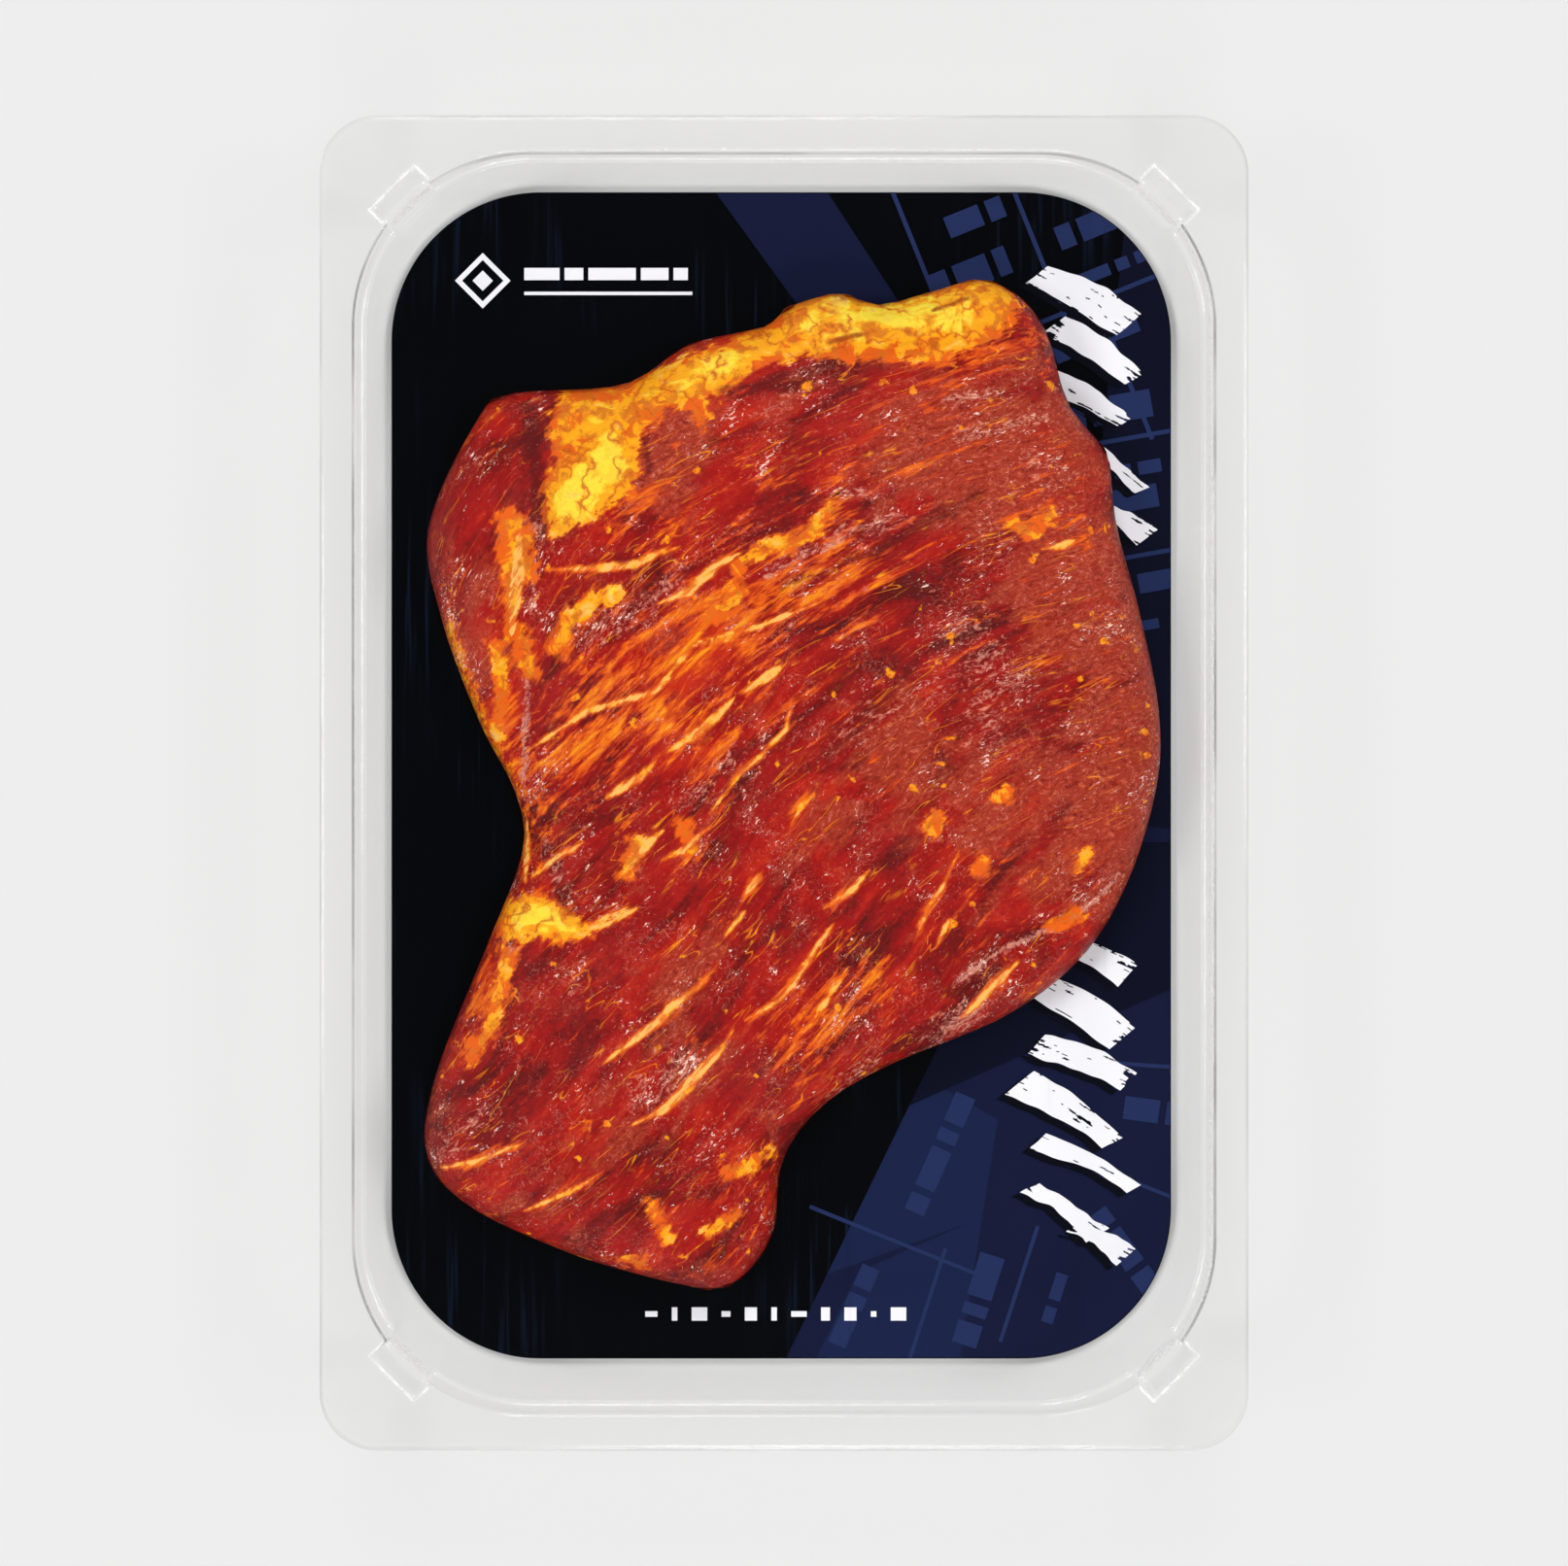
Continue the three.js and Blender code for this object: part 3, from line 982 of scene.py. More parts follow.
@dataclass
class Tray:
    """The clear tray: flange, shoulder, wall with a stacking ledge, lugs and floor."""

    sheet: float = 0.6
    corner_radius: float = 10.0
    skirt_depth: float = 1.2
    skirt_round: float = 0.06
    edge_radius: float = 0.7
    least_corner: float = 0.4
    flange_width: float = 6.5
    cavity_radius: float = 30.0
    shoulder_radius: float = 0.9
    ledge_drop: float = 4.4
    ledge_width: float = 0.8
    ledge_fall: float = 0.25
    ledge_radius: float = 0.35
    least_radius: float = 0.08
    fillet_radius: float = 1.2
    floor_reach: float = 12.0
    draft: float = math.radians(3.5)
    lug_reach: float = 3.2
    lug_depth: float = 9.0
    lug_half_angle: float = math.radians(10)
    lug_side_angle: float = math.radians(1.4)
    lug_taper: float = 0.75
    flange_start: float = 4.4
    lug_start: float = 1.1
    arc_steps: int = 6
    plain_steps: int = 12
    side_steps: int = 5
    face_steps: int = 4
    long_stretch: float = 1.5
    support_gap: float = 0.25
    finish: ClearPlastic = field(default_factory=ClearPlastic)

    def __post_init__(self) -> None:
        """Takes the outer size from the frame."""
        high = node_box("tray")[1]
        self.half_width = high.x
        self.half_length = high.y
        self.height = high.z

    def corner_angles(self) -> list[float]:
        """One corner's angles, closest together at the lug's sides."""
        middle = math.pi / 4
        start = middle - self.lug_half_angle
        inner = start + self.lug_side_angle
        plain = [start * i / self.plain_steps for i in range(self.plain_steps)]
        side = [start + self.lug_side_angle * i / self.side_steps for i in range(self.side_steps)]
        face = [inner + (middle - inner) * i / self.face_steps for i in range(self.face_steps + 1)]
        half = plain + side + face
        return half + [math.pi / 2 - angle for angle in reversed(half[:-1])]

    def lug_share(self, angle: float) -> float:
        """How much of the lug's reach an angle of the corner gets.

        Args:
            angle: The angle round the corner.

        Returns:
            1 on the lug's face and 0 off the lug.
        """
        share = (self.lug_half_angle - abs(angle - math.pi / 4)) / self.lug_side_angle
        share = min(1.0, max(0.0, share))
        return share * share * (3 - 2 * share)

    def line(self, half_width: float, half_length: float, radius: float, reach: float) -> list[Point]:
        """A rounded rectangle's points, with the lugs pushed out of its corners.

        Args:
            half_width: Half its size along X.
            half_length: Half its size along Y.
            radius: Radius of its corners.
            reach: How far the lugs reach.

        Returns:
            The points, anticlockwise from the right.
        """
        points = []
        for corner, (sign_x, sign_y) in enumerate(((1, 1), (-1, 1), (-1, -1), (1, -1))):
            for angle in self.corner_angles():
                out = radius + reach * self.lug_share(angle)
                turned = angle + corner * math.pi / 2
                points.append((
                    sign_x * (half_width - radius) + out * math.cos(turned),
                    sign_y * (half_length - radius) + out * math.sin(turned),
                ))
        return points

    def lug_at(self, level: float) -> float:
        """Share of the lugs' reach at a height.

        Args:
            level: The height.

        Returns:
            1 at the flange and 0 at the lugs' foot.
        """
        foot = self.height - self.lug_depth
        ledge = self.height - self.ledge_drop
        top = self.height - self.shoulder_radius
        if level <= foot:
            return 0.0
        if level < ledge:
            return self.lug_taper * (level - foot) / (ledge - foot)
        return min(1.0, self.lug_taper + (1 - self.lug_taper) * (level - ledge) / (top - ledge))

    def wall_path(self, offset: float) -> list[Point]:
        """The cavity's side as insets and heights, from the flange to the floor, rounded.

        Args:
            offset: 0 for the sheet's top face, or its thickness for the underside.

        Returns:
            The path.
        """
        slope = math.tan(self.draft)
        ledge = self.height - self.ledge_drop
        upper = self.ledge_drop * slope
        lower = upper + self.ledge_width + (ledge - self.sheet) * slope
        corners = [
            (-self.flange_start, self.height, 0.0), (0.0, self.height, self.shoulder_radius - offset),
            (upper, ledge, self.ledge_radius + offset),
            (
                upper + self.ledge_width, ledge - self.ledge_fall,
                max(self.least_radius, self.ledge_radius - offset),
            ),
            (lower, self.sheet, self.fillet_radius + offset),
            (lower + self.floor_reach, self.sheet, 0.0),
        ]
        places = [(inset - offset, level - offset, radius) for inset, level, radius in corners]
        path = [places[0][:2]]
        for before, here, after in zip(places, places[1:], places[2:]):
            path += self.rounded(before[:2], here[:2], after[:2], here[2])
        path.append(places[-1][:2])
        return self.supported(path)

    def rounded(self, before: Point, corner: Point, after: Point, radius: float) -> list[Point]:
        """A path's corner turned into an arc.

        Args:
            before: The point before the corner.
            corner: The corner.
            after: The point after it.
            radius: The arc's radius.

        Returns:
            The arc's points.
        """
        here = Vector(corner)
        back = (Vector(before) - here).normalized()
        on = (Vector(after) - here).normalized()
        half = back.angle(on) / 2
        middle = here + (back + on).normalized() * (radius / math.sin(half))
        start = here + back * (radius / math.tan(half)) - middle
        end = here + on * (radius / math.tan(half)) - middle
        turn = start.angle_signed(end)
        points = []
        for step in range(self.arc_steps + 1):
            angle = -turn * step / self.arc_steps
            point = Vector((
                start.x * math.cos(angle) - start.y * math.sin(angle),
                start.x * math.sin(angle) + start.y * math.cos(angle),
            )) + middle
            points.append((point.x, point.y))
        return points

    def supported(self, path: list[Point]) -> list[Point]:
        """A path with points close to both ends of its long stretches.

        Args:
            path: The path.

        Returns:
            The path with the points added, which keep shading off the flat stretches.
        """
        points = [path[0]]
        for start, end in zip(path, path[1:]):
            length = math.dist(start, end)
            if length > self.long_stretch:
                near = self.support_gap / length
                for share in (near, 0.5, 1 - near):
                    points.append((
                        start[0] + (end[0] - start[0]) * share,
                        start[1] + (end[1] - start[1]) * share,
                    ))
            points.append(end)
        return points

    def flange_ring(self, inset: float) -> list[Point]:
        """The flange's outline drawn in.

        Args:
            inset: How far in.

        Returns:
            Its points.
        """
        radius = max(self.least_corner, self.corner_radius - inset)
        return self.line(self.half_width - inset, self.half_length - inset, radius, 0.0)

    def edge_path(self) -> list[Point]:
        """The flange's edge as insets and heights, from its underside round the skirt."""
        foot = self.height - self.skirt_depth
        under = self.height - self.sheet
        sheet = self.sheet
        fine = self.skirt_round
        path = [
            (sheet + 0.7, under), (sheet + 0.2, under), (sheet + fine, under - fine),
            (sheet, under - 0.2), (sheet, foot + fine), (sheet - fine, foot),
            (fine, foot), (0.0, foot + fine),
        ]
        for step in range(self.arc_steps + 1):
            turn = math.pi / 2 * step / self.arc_steps
            path.append((
                self.edge_radius * (1 - math.cos(turn)),
                self.height - self.edge_radius * (1 - math.sin(turn)),
            ))
        path.append((self.edge_radius + 0.4, self.height))
        return path

    def cavity_ring(self, inset: float, level: float) -> list[Point]:
        """The cavity's outline drawn in, with the lugs of its height.

        Args:
            inset: How far in.
            level: Its height.

        Returns:
            Its points.
        """
        pushed = (inset + self.flange_start) / (self.flange_start - self.lug_start)
        reach = self.lug_reach * self.lug_at(level) * min(1.0, max(0.0, pushed))
        return self.line(
            self.half_width - self.flange_width - inset,
            self.half_length - self.flange_width - inset,
            max(1.0, self.cavity_radius - inset), reach,
        )

    def build(self) -> bpy.types.Object:
        """Makes the tray.

        Returns:
            The piece.
        """
        loft = Loft(4 * len(self.corner_angles()))
        for inset, level in reversed(self.wall_path(self.sheet)):
            loft.ring(self.cavity_ring(inset, level), level)
        for inset, level in self.edge_path():
            loft.ring(self.flange_ring(inset), level)
        for inset, level in self.wall_path(0.0):
            loft.ring(self.cavity_ring(inset, level), level)
        return add_piece("tray_shell", loft.close(), self.finish.material(), "tray")


@dataclass
class Film:
    """The film sealed over the flange."""

    corner_radius: float = 8.8
    finish: ClearFilm = field(default_factory=ClearFilm)

    def build(self) -> bpy.types.Object:
        """Makes the film.

        Returns:
            The piece.
        """
        low, high = node_box("lid_film")
        bm = rounded_sheet(high.x, high.y, self.corner_radius)
        thicken(bm, low.z, high.z)
        return add_piece("film_sheet", bm, self.finish.material(), "lid_film", False)


@dataclass(frozen=True)
class Cut:
    """A straight cut across the card: what lies on its right is taken away."""

    point: Point
    heading: float

    def normal(self) -> tuple[float, float, float]:
        """The direction of what is taken away."""
        angle = math.radians(self.heading)
        return (math.sin(angle), -math.cos(angle), 0.0)


def bar(centre: Point, heading: float, length: float, width: float) -> tuple[Cut, ...]:
    """The four cuts that leave a straight bar.

    Args:
        centre: The bar's middle.
        heading: Its direction in degrees.
        length: Its length.
        width: Its width.

    Returns:
        The cuts.
    """
    angle = math.radians(heading)
    along = (math.cos(angle), math.sin(angle))
    across = (-along[1], along[0])
    x, y = centre
    return (
        Cut((x - across[0] * width / 2, y - across[1] * width / 2), heading),
        Cut((x + along[0] * length / 2, y + along[1] * length / 2), heading + 90),
        Cut((x + across[0] * width / 2, y + across[1] * width / 2), heading + 180),
        Cut((x - along[0] * length / 2, y - along[1] * length / 2), heading + 270),
    )


def bar_row(
    start: Point, heading: float, lengths: Sequence[float], width: float, gap: float
) -> list[tuple[Cut, ...]]:
    """Straight bars one after another.

    Args:
        start: Where the first one begins.
        heading: Their direction in degrees.
        lengths: Their lengths.
        width: Their width.
        gap: The gap between two of them.

    Returns:
        The cuts of each bar.
    """
    angle = math.radians(heading)
    bars = []
    along = 0.0
    for length in lengths:
        middle = along + length / 2
        centre = (start[0] + math.cos(angle) * middle, start[1] + math.sin(angle) * middle)
        bars.append(bar(centre, heading, length, width))
        along += length + gap
    return bars


@dataclass
class Card:
    """The dark card on the tray's floor, with its print."""

    corner_radius: float = 27.0
    margin: float = 0.2
    ink_sink: float = 0.01
    ink_spread: float = 0.0005
    block_gap: float = 1.3
    mark_place: Point = (-54.0, 89.5)
    mark_side: float = 6.2
    mark_line: float = 0.9
    dash_place: Point = (-24.6, -97.4)
    dash_count: int = 11
    dash_gap: float = 2.6
    board: Ink = Ink("near-black board", srgb(2, 3, 6), srgb(23, 38, 62), 0.9)
    navy: Ink = Ink("navy ink", srgb(20, 25, 54), srgb(15, 20, 44), 0.5)
    royal: Ink = Ink("royal blue ink", srgb(24, 34, 68), srgb(19, 27, 56), 0.5)
    deep_navy: Ink = Ink("deep navy ink", srgb(12, 15, 34), srgb(7, 9, 23), 0.6)
    steel: Ink = Ink("steel blue ink", srgb(35, 47, 88), srgb(27, 36, 72), 0.6)
    shade: Ink = Ink("shade ink", srgb(8, 10, 20), srgb(12, 15, 28), 0.4)
    white: Ink = Ink("white ink", srgb(240, 240, 245), srgb(214, 216, 224), 0.3)

    def __post_init__(self) -> None:
        """Takes the card's size from the frame."""
        self.low, self.high = node_box("card")
        self.top = self.high.z

    def cut_out(self, cuts: Sequence[Cut]) -> bmesh.types.BMesh:
        """What is left of the card's outline after some cuts.

        Args:
            cuts: The cuts.

        Returns:
            The flat mesh.
        """
        bm = rounded_sheet(
            self.high.x - self.margin, self.high.y - self.margin, self.corner_radius - self.margin
        )
        for cut in cuts:
            bmesh.ops.bisect_plane(
                bm, geom=bm.verts[:] + bm.edges[:] + bm.faces[:], dist=1e-6,
                plane_co=(cut.point[0], cut.point[1], 0), plane_no=cut.normal(), clear_outer=True,
            )
        return bm

    def joined(self, shapes: Sequence[Sequence[Cut]], layer: Layer) -> bmesh.types.BMesh:
        """Several cut shapes as one thin layer.

        Args:
            shapes: The cuts of each shape.
            layer: The layer that they lie in.

        Returns:
            The mesh.
        """
        whole = bmesh.new()
        for number, cuts in enumerate(shapes):
            part = self.cut_out(cuts)
            if not part.faces:
                part.free()
                continue
            self.raise_ink(part, layer, number)
            self.add_to(whole, part)
        return whole

    def raise_ink(self, part: bmesh.types.BMesh, layer: Layer, number: int) -> None:
        """Raises a flat shape into its layer, a little lower than the shape before it.

        Args:
            part: The flat shape.
            layer: The layer that it lies in.
            number: The shape's number in the layer.
        """
        thicken(part, self.top - self.ink_sink, self.top + layer.value - self.ink_spread * number)

    def fields(self) -> list[tuple[Cut, ...]]:
        """The large navy fields: a slanting band at the top and a wedge at the lower right."""
        return [
            (Cut((-11.5, 105), 306), Cut((8.7, 105), 123)),
            (Cut((1.1, -105), 244),),
        ]

    def bands(self) -> list[tuple[Cut, ...]]:
        """The brighter part of the wedge, with a notch of the darker blue let into its edge."""
        return [
            (Cut((1.1, -105), 244), Cut((32.4, -105), 81), Cut((30, -57), 150), Cut((9, -90), 20)),
            (Cut((6.5, -105), 244), Cut((32.4, -105), 81), Cut((9, -92), 204)),
        ]

    def zones(self) -> list[tuple[Cut, ...]]:
        """Darker zones beside the steak."""
        return [
            (Cut((46, -12), 180), Cut((1.1, -105), 244), Cut((54, -46), 24)),
            (Cut((58, 60), 264), Cut((58, -8), 352)),
        ]

    def rules(self) -> list[tuple[Cut, ...]]:
        """Thin blue rules that meet at slants."""
        return [
            bar((24, 96), 112, 34, 0.8), bar((46, 96), 112, 38, 0.8), bar((47, 82), 22, 60, 0.8),
            bar((57, 60), 10, 40, 0.8), bar((63, 71), 112, 22, 0.8), bar((66, 40), 10, 20, 0.8),
            bar((20, -84), 338, 32, 0.7), bar((26, -97), 72, 24, 0.7), bar((60, -52), 356, 24, 0.7),
            bar((60, -72), 338, 26, 0.7), bar((43, -92), 72, 22, 0.7),
        ]

    def blocks(self) -> list[tuple[Cut, ...]]:
        """Short blue bars in rows between the rules, and no two rows alike."""
        rows = [
            ((27.5, 88), 22, (3.2, 6.4, 2.4), 5.2), ((30, 99), 22, (6.6, 3.0), 4.0),
            ((50, 97), 22, (3, 7, 2.6), 4.4), ((51.5, 88.5), 22, (8.5, 2.4, 4.6), 2.2),
            ((46, 74.5), 22, (2.4, 5.4, 3.2, 5), 3.2), ((50, 64.5), 10, (5, 2.2, 7.4), 5.0),
            ((56, 54), 10, (7.4, 4.2), 2.4), ((55, 48.5), 10, (3.4, 8.6), 4.2),
            ((61, 34), 10, (2.4, 6), 3.6), ((62, 26.5), 10, (6.4,), 1.8),
            ((24, -79), 66, (3.4, 7.8, 2.4, 5.6), 3.8), ((10, -103), 66, (6, 2.6, 4.2), 3.4),
            ((33, -103), 72, (4.2, 2.2, 8), 4.6), ((62, -60), 352, (6.4, 3), 4.2),
            ((57, -79), 306, (3.2, 7.4, 4), 4.0), ((48, -99), 72, (3, 5), 2.2),
        ]
        bars = []
        for start, heading, lengths, width in rows:
            bars += bar_row(start, heading, lengths, width, self.block_gap)
        return bars

    def small_marks(self) -> list[tuple[Cut, ...]]:
        """White marks: a tilted square with bars beside it, and a row of dashes at the foot."""
        marks = []
        x, y = self.mark_place
        side = self.mark_side
        for turn in range(4):
            angle = math.radians(45 + 90 * turn)
            centre = (x + math.cos(angle) * side / 2, y + math.sin(angle) * side / 2)
            marks.append(bar(centre, 135 + 90 * turn, side + self.mark_line, self.mark_line))
        marks.append(bar((x, y), 45, 2.6, 2.6))
        beside = x + 7.5
        marks += bar_row((beside, y + 1.2), 0, (6.4, 3.4, 8.6, 5.0, 2.6), 2.2, self.mark_line)
        marks += bar_row((beside, y - 2.3), 0, (30.4,), 0.6, 0.0)
        along, level = self.dash_place
        for number in range(self.dash_count):
            length = (2.2, 1.0, 2.8, 1.6)[number % 4]
            width = 2.4 if number % 3 else 1.0
            marks += bar_row((along, level), 0, (length,), width, 0.0)
            along += length + self.dash_gap
        return marks

    def brush_stroke(self, number: int, length: float, width: float) -> bmesh.types.BMesh:
        """One flat stroke of a dry brush along X, torn where the bristles ran dry.

        Args:
            number: The stroke's number, which picks its tears.
            length: Its length.
            width: Its width.

        Returns:
            The flat mesh.
        """
        bm = bmesh.new()
        bmesh.ops.create_grid(bm, x_segments=96, y_segments=28, size=0.5)
        for vertex in bm.verts:
            along, across = vertex.co.x, vertex.co.y
            bow = math.sin((along + 0.5) * math.pi) * 0.9
            wobble = noise.noise(Vector((along * 5, across * 1.5, number * 2.7))) * 0.5
            swell = 0.78 + 0.3 * math.sin((along + 0.5) * 2.4 + number)
            slant = across * width * 0.35
            vertex.co = (along * length + slant, across * width * swell + bow + wobble, 0)
        torn = []
        for face in bm.faces:
            middle = face.calc_center_median()
            end = min(1.0, abs(middle.x) / (length / 2))
            dry = noise.noise(Vector((middle.x * 0.16, middle.y * 2.2, number * 7.3)))
            chip = noise.noise(Vector((middle.x * 0.7, middle.y * 1.1, number * 3.1)))
            if dry + 0.45 * chip > 0.62 - 0.5 * end ** 4:
                torn.append(face)
        bmesh.ops.delete(bm, geom=torn, context="FACES")
        return bm

    def brush_strokes(self, layer: Layer, shift: Point) -> bmesh.types.BMesh:
        """Strokes of a dry brush down the right side.

        Args:
            layer: The layer that they lie in.
            shift: How far the whole row is moved.

        Returns:
            The mesh.
        """
        strokes = (
            (54.5, 86.0, 19.0, 5.6, -29), (56.5, 76.5, 17.5, 4.6, -35), (55.0, 67.5, 16.0, 5.2, -27),
            (58.0, 57.0, 18.0, 4.4, -38), (61.0, 46.0, 12.0, 5.4, -31),
            (54.5, -32.5, 18.0, 4.8, -24), (52.5, -42.0, 21.5, 5.8, -31), (54.5, -52.0, 18.0, 4.6, -22),
            (51.5, -61.0, 20.0, 6.0, -33), (55.0, -70.5, 19.5, 4.8, -26), (51.0, -79.0, 15.0, 5.6, -35),
            (57.5, -84.5, 11.0, 4.6, -28),
        )
        whole = bmesh.new()
        for number, (x, y, length, width, heading) in enumerate(strokes):
            part = self.brush_stroke(number, length, width)
            self.raise_ink(part, layer, number)
            turn = Matrix.Rotation(math.radians(heading), 3, "Z")
            bmesh.ops.rotate(part, verts=part.verts, cent=(0, 0, 0), matrix=turn)
            bmesh.ops.translate(part, verts=part.verts, vec=(x + shift[0], y + shift[1], 0))
            self.add_to(whole, part)
        return whole

    def add_to(self, whole: bmesh.types.BMesh, part: bmesh.types.BMesh) -> None:
        """Adds a mesh to another one.

        Args:
            whole: The mesh that grows.
            part: The mesh that is added, which is freed.
        """
        scratch = bpy.data.meshes.new("scratch")
        part.to_mesh(scratch)
        part.free()
        whole.from_mesh(scratch)
        bpy.data.meshes.remove(scratch)

    def build(self) -> list[bpy.types.Object]:
        """Makes the card and its print.

        Returns:
            The pieces.
        """
        bm = rounded_sheet(self.high.x, self.high.y, self.corner_radius)
        thicken(bm, self.low.z, self.high.z)
        board = add_piece("card_board", bm, self.board.material(), "card", False)
        layers = (
            ("print_fields", self.joined(self.fields(), Layer.FIELD), self.navy),
            ("print_bands", self.joined(self.bands(), Layer.BAND), self.royal),
            ("print_zones", self.joined(self.zones(), Layer.ZONE), self.deep_navy),
            ("print_rules", self.joined(self.rules(), Layer.RULE), self.steel),
            ("print_blocks", self.joined(self.blocks(), Layer.BLOCK), self.steel),
            ("print_brush_shade", self.brush_strokes(Layer.SHADE, (-1.5, -0.9)), self.shade),
            ("print_small_marks", self.joined(self.small_marks(), Layer.MARK), self.white),
            ("print_brush_strokes", self.brush_strokes(Layer.MARK, (0.0, 0.0)), self.white),
        )
        pieces = [board]
        for name, mesh, ink in layers:
            pieces.append(add_piece(name, mesh, ink.material(), None, False))
        return pieces


@dataclass(frozen=True)
class Streak:
    """A strand of fat or oil that lies in the grain."""

    path: Path
    half_width: float = 0.8
    glow: float = 1.6
    oil: float = 0.5


@dataclass(frozen=True)
class Relief:
    """A valley or a ridge of the steak's top."""

    path: Path
    half: float
    height: float


@dataclass(frozen=True)
class Patch:
    """A soft patch along a path."""

    path: Path
    half: float
    strength: float = 1.0


def path_distance(points: np.ndarray, path: Sequence[Point]) -> tuple[np.ndarray, np.ndarray]:
    """Distance from points to a path.

    Args:
        points: The points, one a row.
        path: The path's points.

    Returns:
        The distances, and how far along the path each nearest point lies, 0 to 1.
    """
    corners = np.array(path, dtype=float)
    steps = np.hypot(*(corners[1:] - corners[:-1]).T)
    total = max(float(steps.sum()), 1e-6)
    best = np.full(len(points), np.inf)
    share = np.zeros(len(points))
    done = 0.0
    for start, end, length in zip(corners[:-1], corners[1:], steps):
        along = end - start
        squared = max(float(along @ along), 1e-9)
        part = np.clip(((points - start) @ along) / squared, 0, 1)
        gap = np.hypot(*(points - start - part[:, None] * along).T)
        nearer = gap < best
        best = np.where(nearer, gap, best)
        share = np.where(nearer, (done + part * length) / total, share)
        done += float(length)
    return best, share


def inside(points: np.ndarray, outline: Sequence[Point]) -> np.ndarray:
    """Which points lie inside a closed outline.

    Args:
        points: The points, one a row.
        outline: The outline's points.

    Returns:
        True for each point inside.
    """
    corners = np.array(outline, dtype=float)
    result = np.zeros(len(points), dtype=bool)
    for start, end in zip(corners, np.roll(corners, -1, axis=0)):
        crosses = (start[1] > points[:, 1]) != (end[1] > points[:, 1])
        rise = end[1] - start[1] if end[1] != start[1] else 1e-9
        meet = start[0] + (points[:, 1] - start[1]) * (end[0] - start[0]) / rise
        result ^= crosses & (points[:, 0] < meet)
    return result


@dataclass
class GrainField:
    """The grain's direction over the steak, turned into places along and across it."""

    anchors: tuple[tuple[float, float, float], ...] = (
        (20, 66, 14), (-20, 58, 18), (44, 60, 12), (-52, 40, 78), (-30, 30, 26), (6, 36, 24),
        (44, 34, 20), (-36, 4, 32), (-8, 8, 38), (30, 8, 30), (56, 6, 22), (-34, -18, 30),
        (-4, -20, 54), (26, -24, 64), (50, -20, 40), (-12, -46, 50), (-50, -44, 58),
        (-50, -68, 24), (-24, -66, 34), (4, -40, 56), (-8, -80, 60),
    )
    spacing: float = 4.0
    rounds: int = 2600
    low: Point = (-76.0, -100.0)
    high: Point = (80.0, 100.0)

    def __post_init__(self) -> None:
        """Settles both places on a coarse grid."""
        xs = np.arange(self.low[0], self.high[0] + self.spacing, self.spacing)
        ys = np.arange(self.low[1], self.high[1] + self.spacing, self.spacing)
        gx, gy = np.meshgrid(xs, ys, indexing="ij")
        weight = np.zeros_like(gx)
        turned = np.zeros_like(gx)
        for x, y, degrees in self.anchors:
            near = 1 / ((gx - x) ** 2 + (gy - y) ** 2 + 60) ** 1.5
            weight += near
            turned += near * math.radians(degrees)
        angle = turned / weight
        self.along = self.settle(np.cos(angle), np.sin(angle), gx, gy)
        self.across = self.settle(-np.sin(angle), np.cos(angle), gx, gy)

    def settle(self, slope_x: np.ndarray, slope_y: np.ndarray, gx: np.ndarray, gy: np.ndarray) -> np.ndarray:
        """The surface whose slope is nearest to a wanted slope.

        Args:
            slope_x: Wanted slope along X.
            slope_y: Wanted slope along Y.
            gx: The grid's X.
            gy: The grid's Y.

        Returns:
            The surface's height on the grid.
        """
        height = gx * slope_x.mean() + gy * slope_y.mean()
        step_x = (slope_x[1:] + slope_x[:-1]) / 2 * self.spacing
        step_y = (slope_y[:, 1:] + slope_y[:, :-1]) / 2 * self.spacing
        count = np.zeros_like(height)
        count[1:] += 1
        count[:-1] += 1
        count[:, 1:] += 1
        count[:, :-1] += 1
        for _ in range(self.rounds):
            total = np.zeros_like(height)
            total[1:] += height[:-1] + step_x
            total[:-1] += height[1:] - step_x
            total[:, 1:] += height[:, :-1] + step_y
            total[:, :-1] += height[:, 1:] - step_y
            height = total / count
        return height

    def read(self, surface: np.ndarray, points: np.ndarray) -> np.ndarray:
        """A settled surface at some points.

        Args:
            surface: The surface on the grid.
            points: The points, one a row.

        Returns:
            Its heights there.
        """
        fx = np.clip((points[:, 0] - self.low[0]) / self.spacing, 0, surface.shape[0] - 1.001)
        fy = np.clip((points[:, 1] - self.low[1]) / self.spacing, 0, surface.shape[1] - 1.001)
        ix = fx.astype(int)
        iy = fy.astype(int)
        tx = fx - ix
        ty = fy - iy
        left = surface[ix, iy] * (1 - ty) + surface[ix, iy + 1] * ty
        right = surface[ix + 1, iy] * (1 - ty) + surface[ix + 1, iy + 1] * ty
        return left * (1 - tx) + right * tx


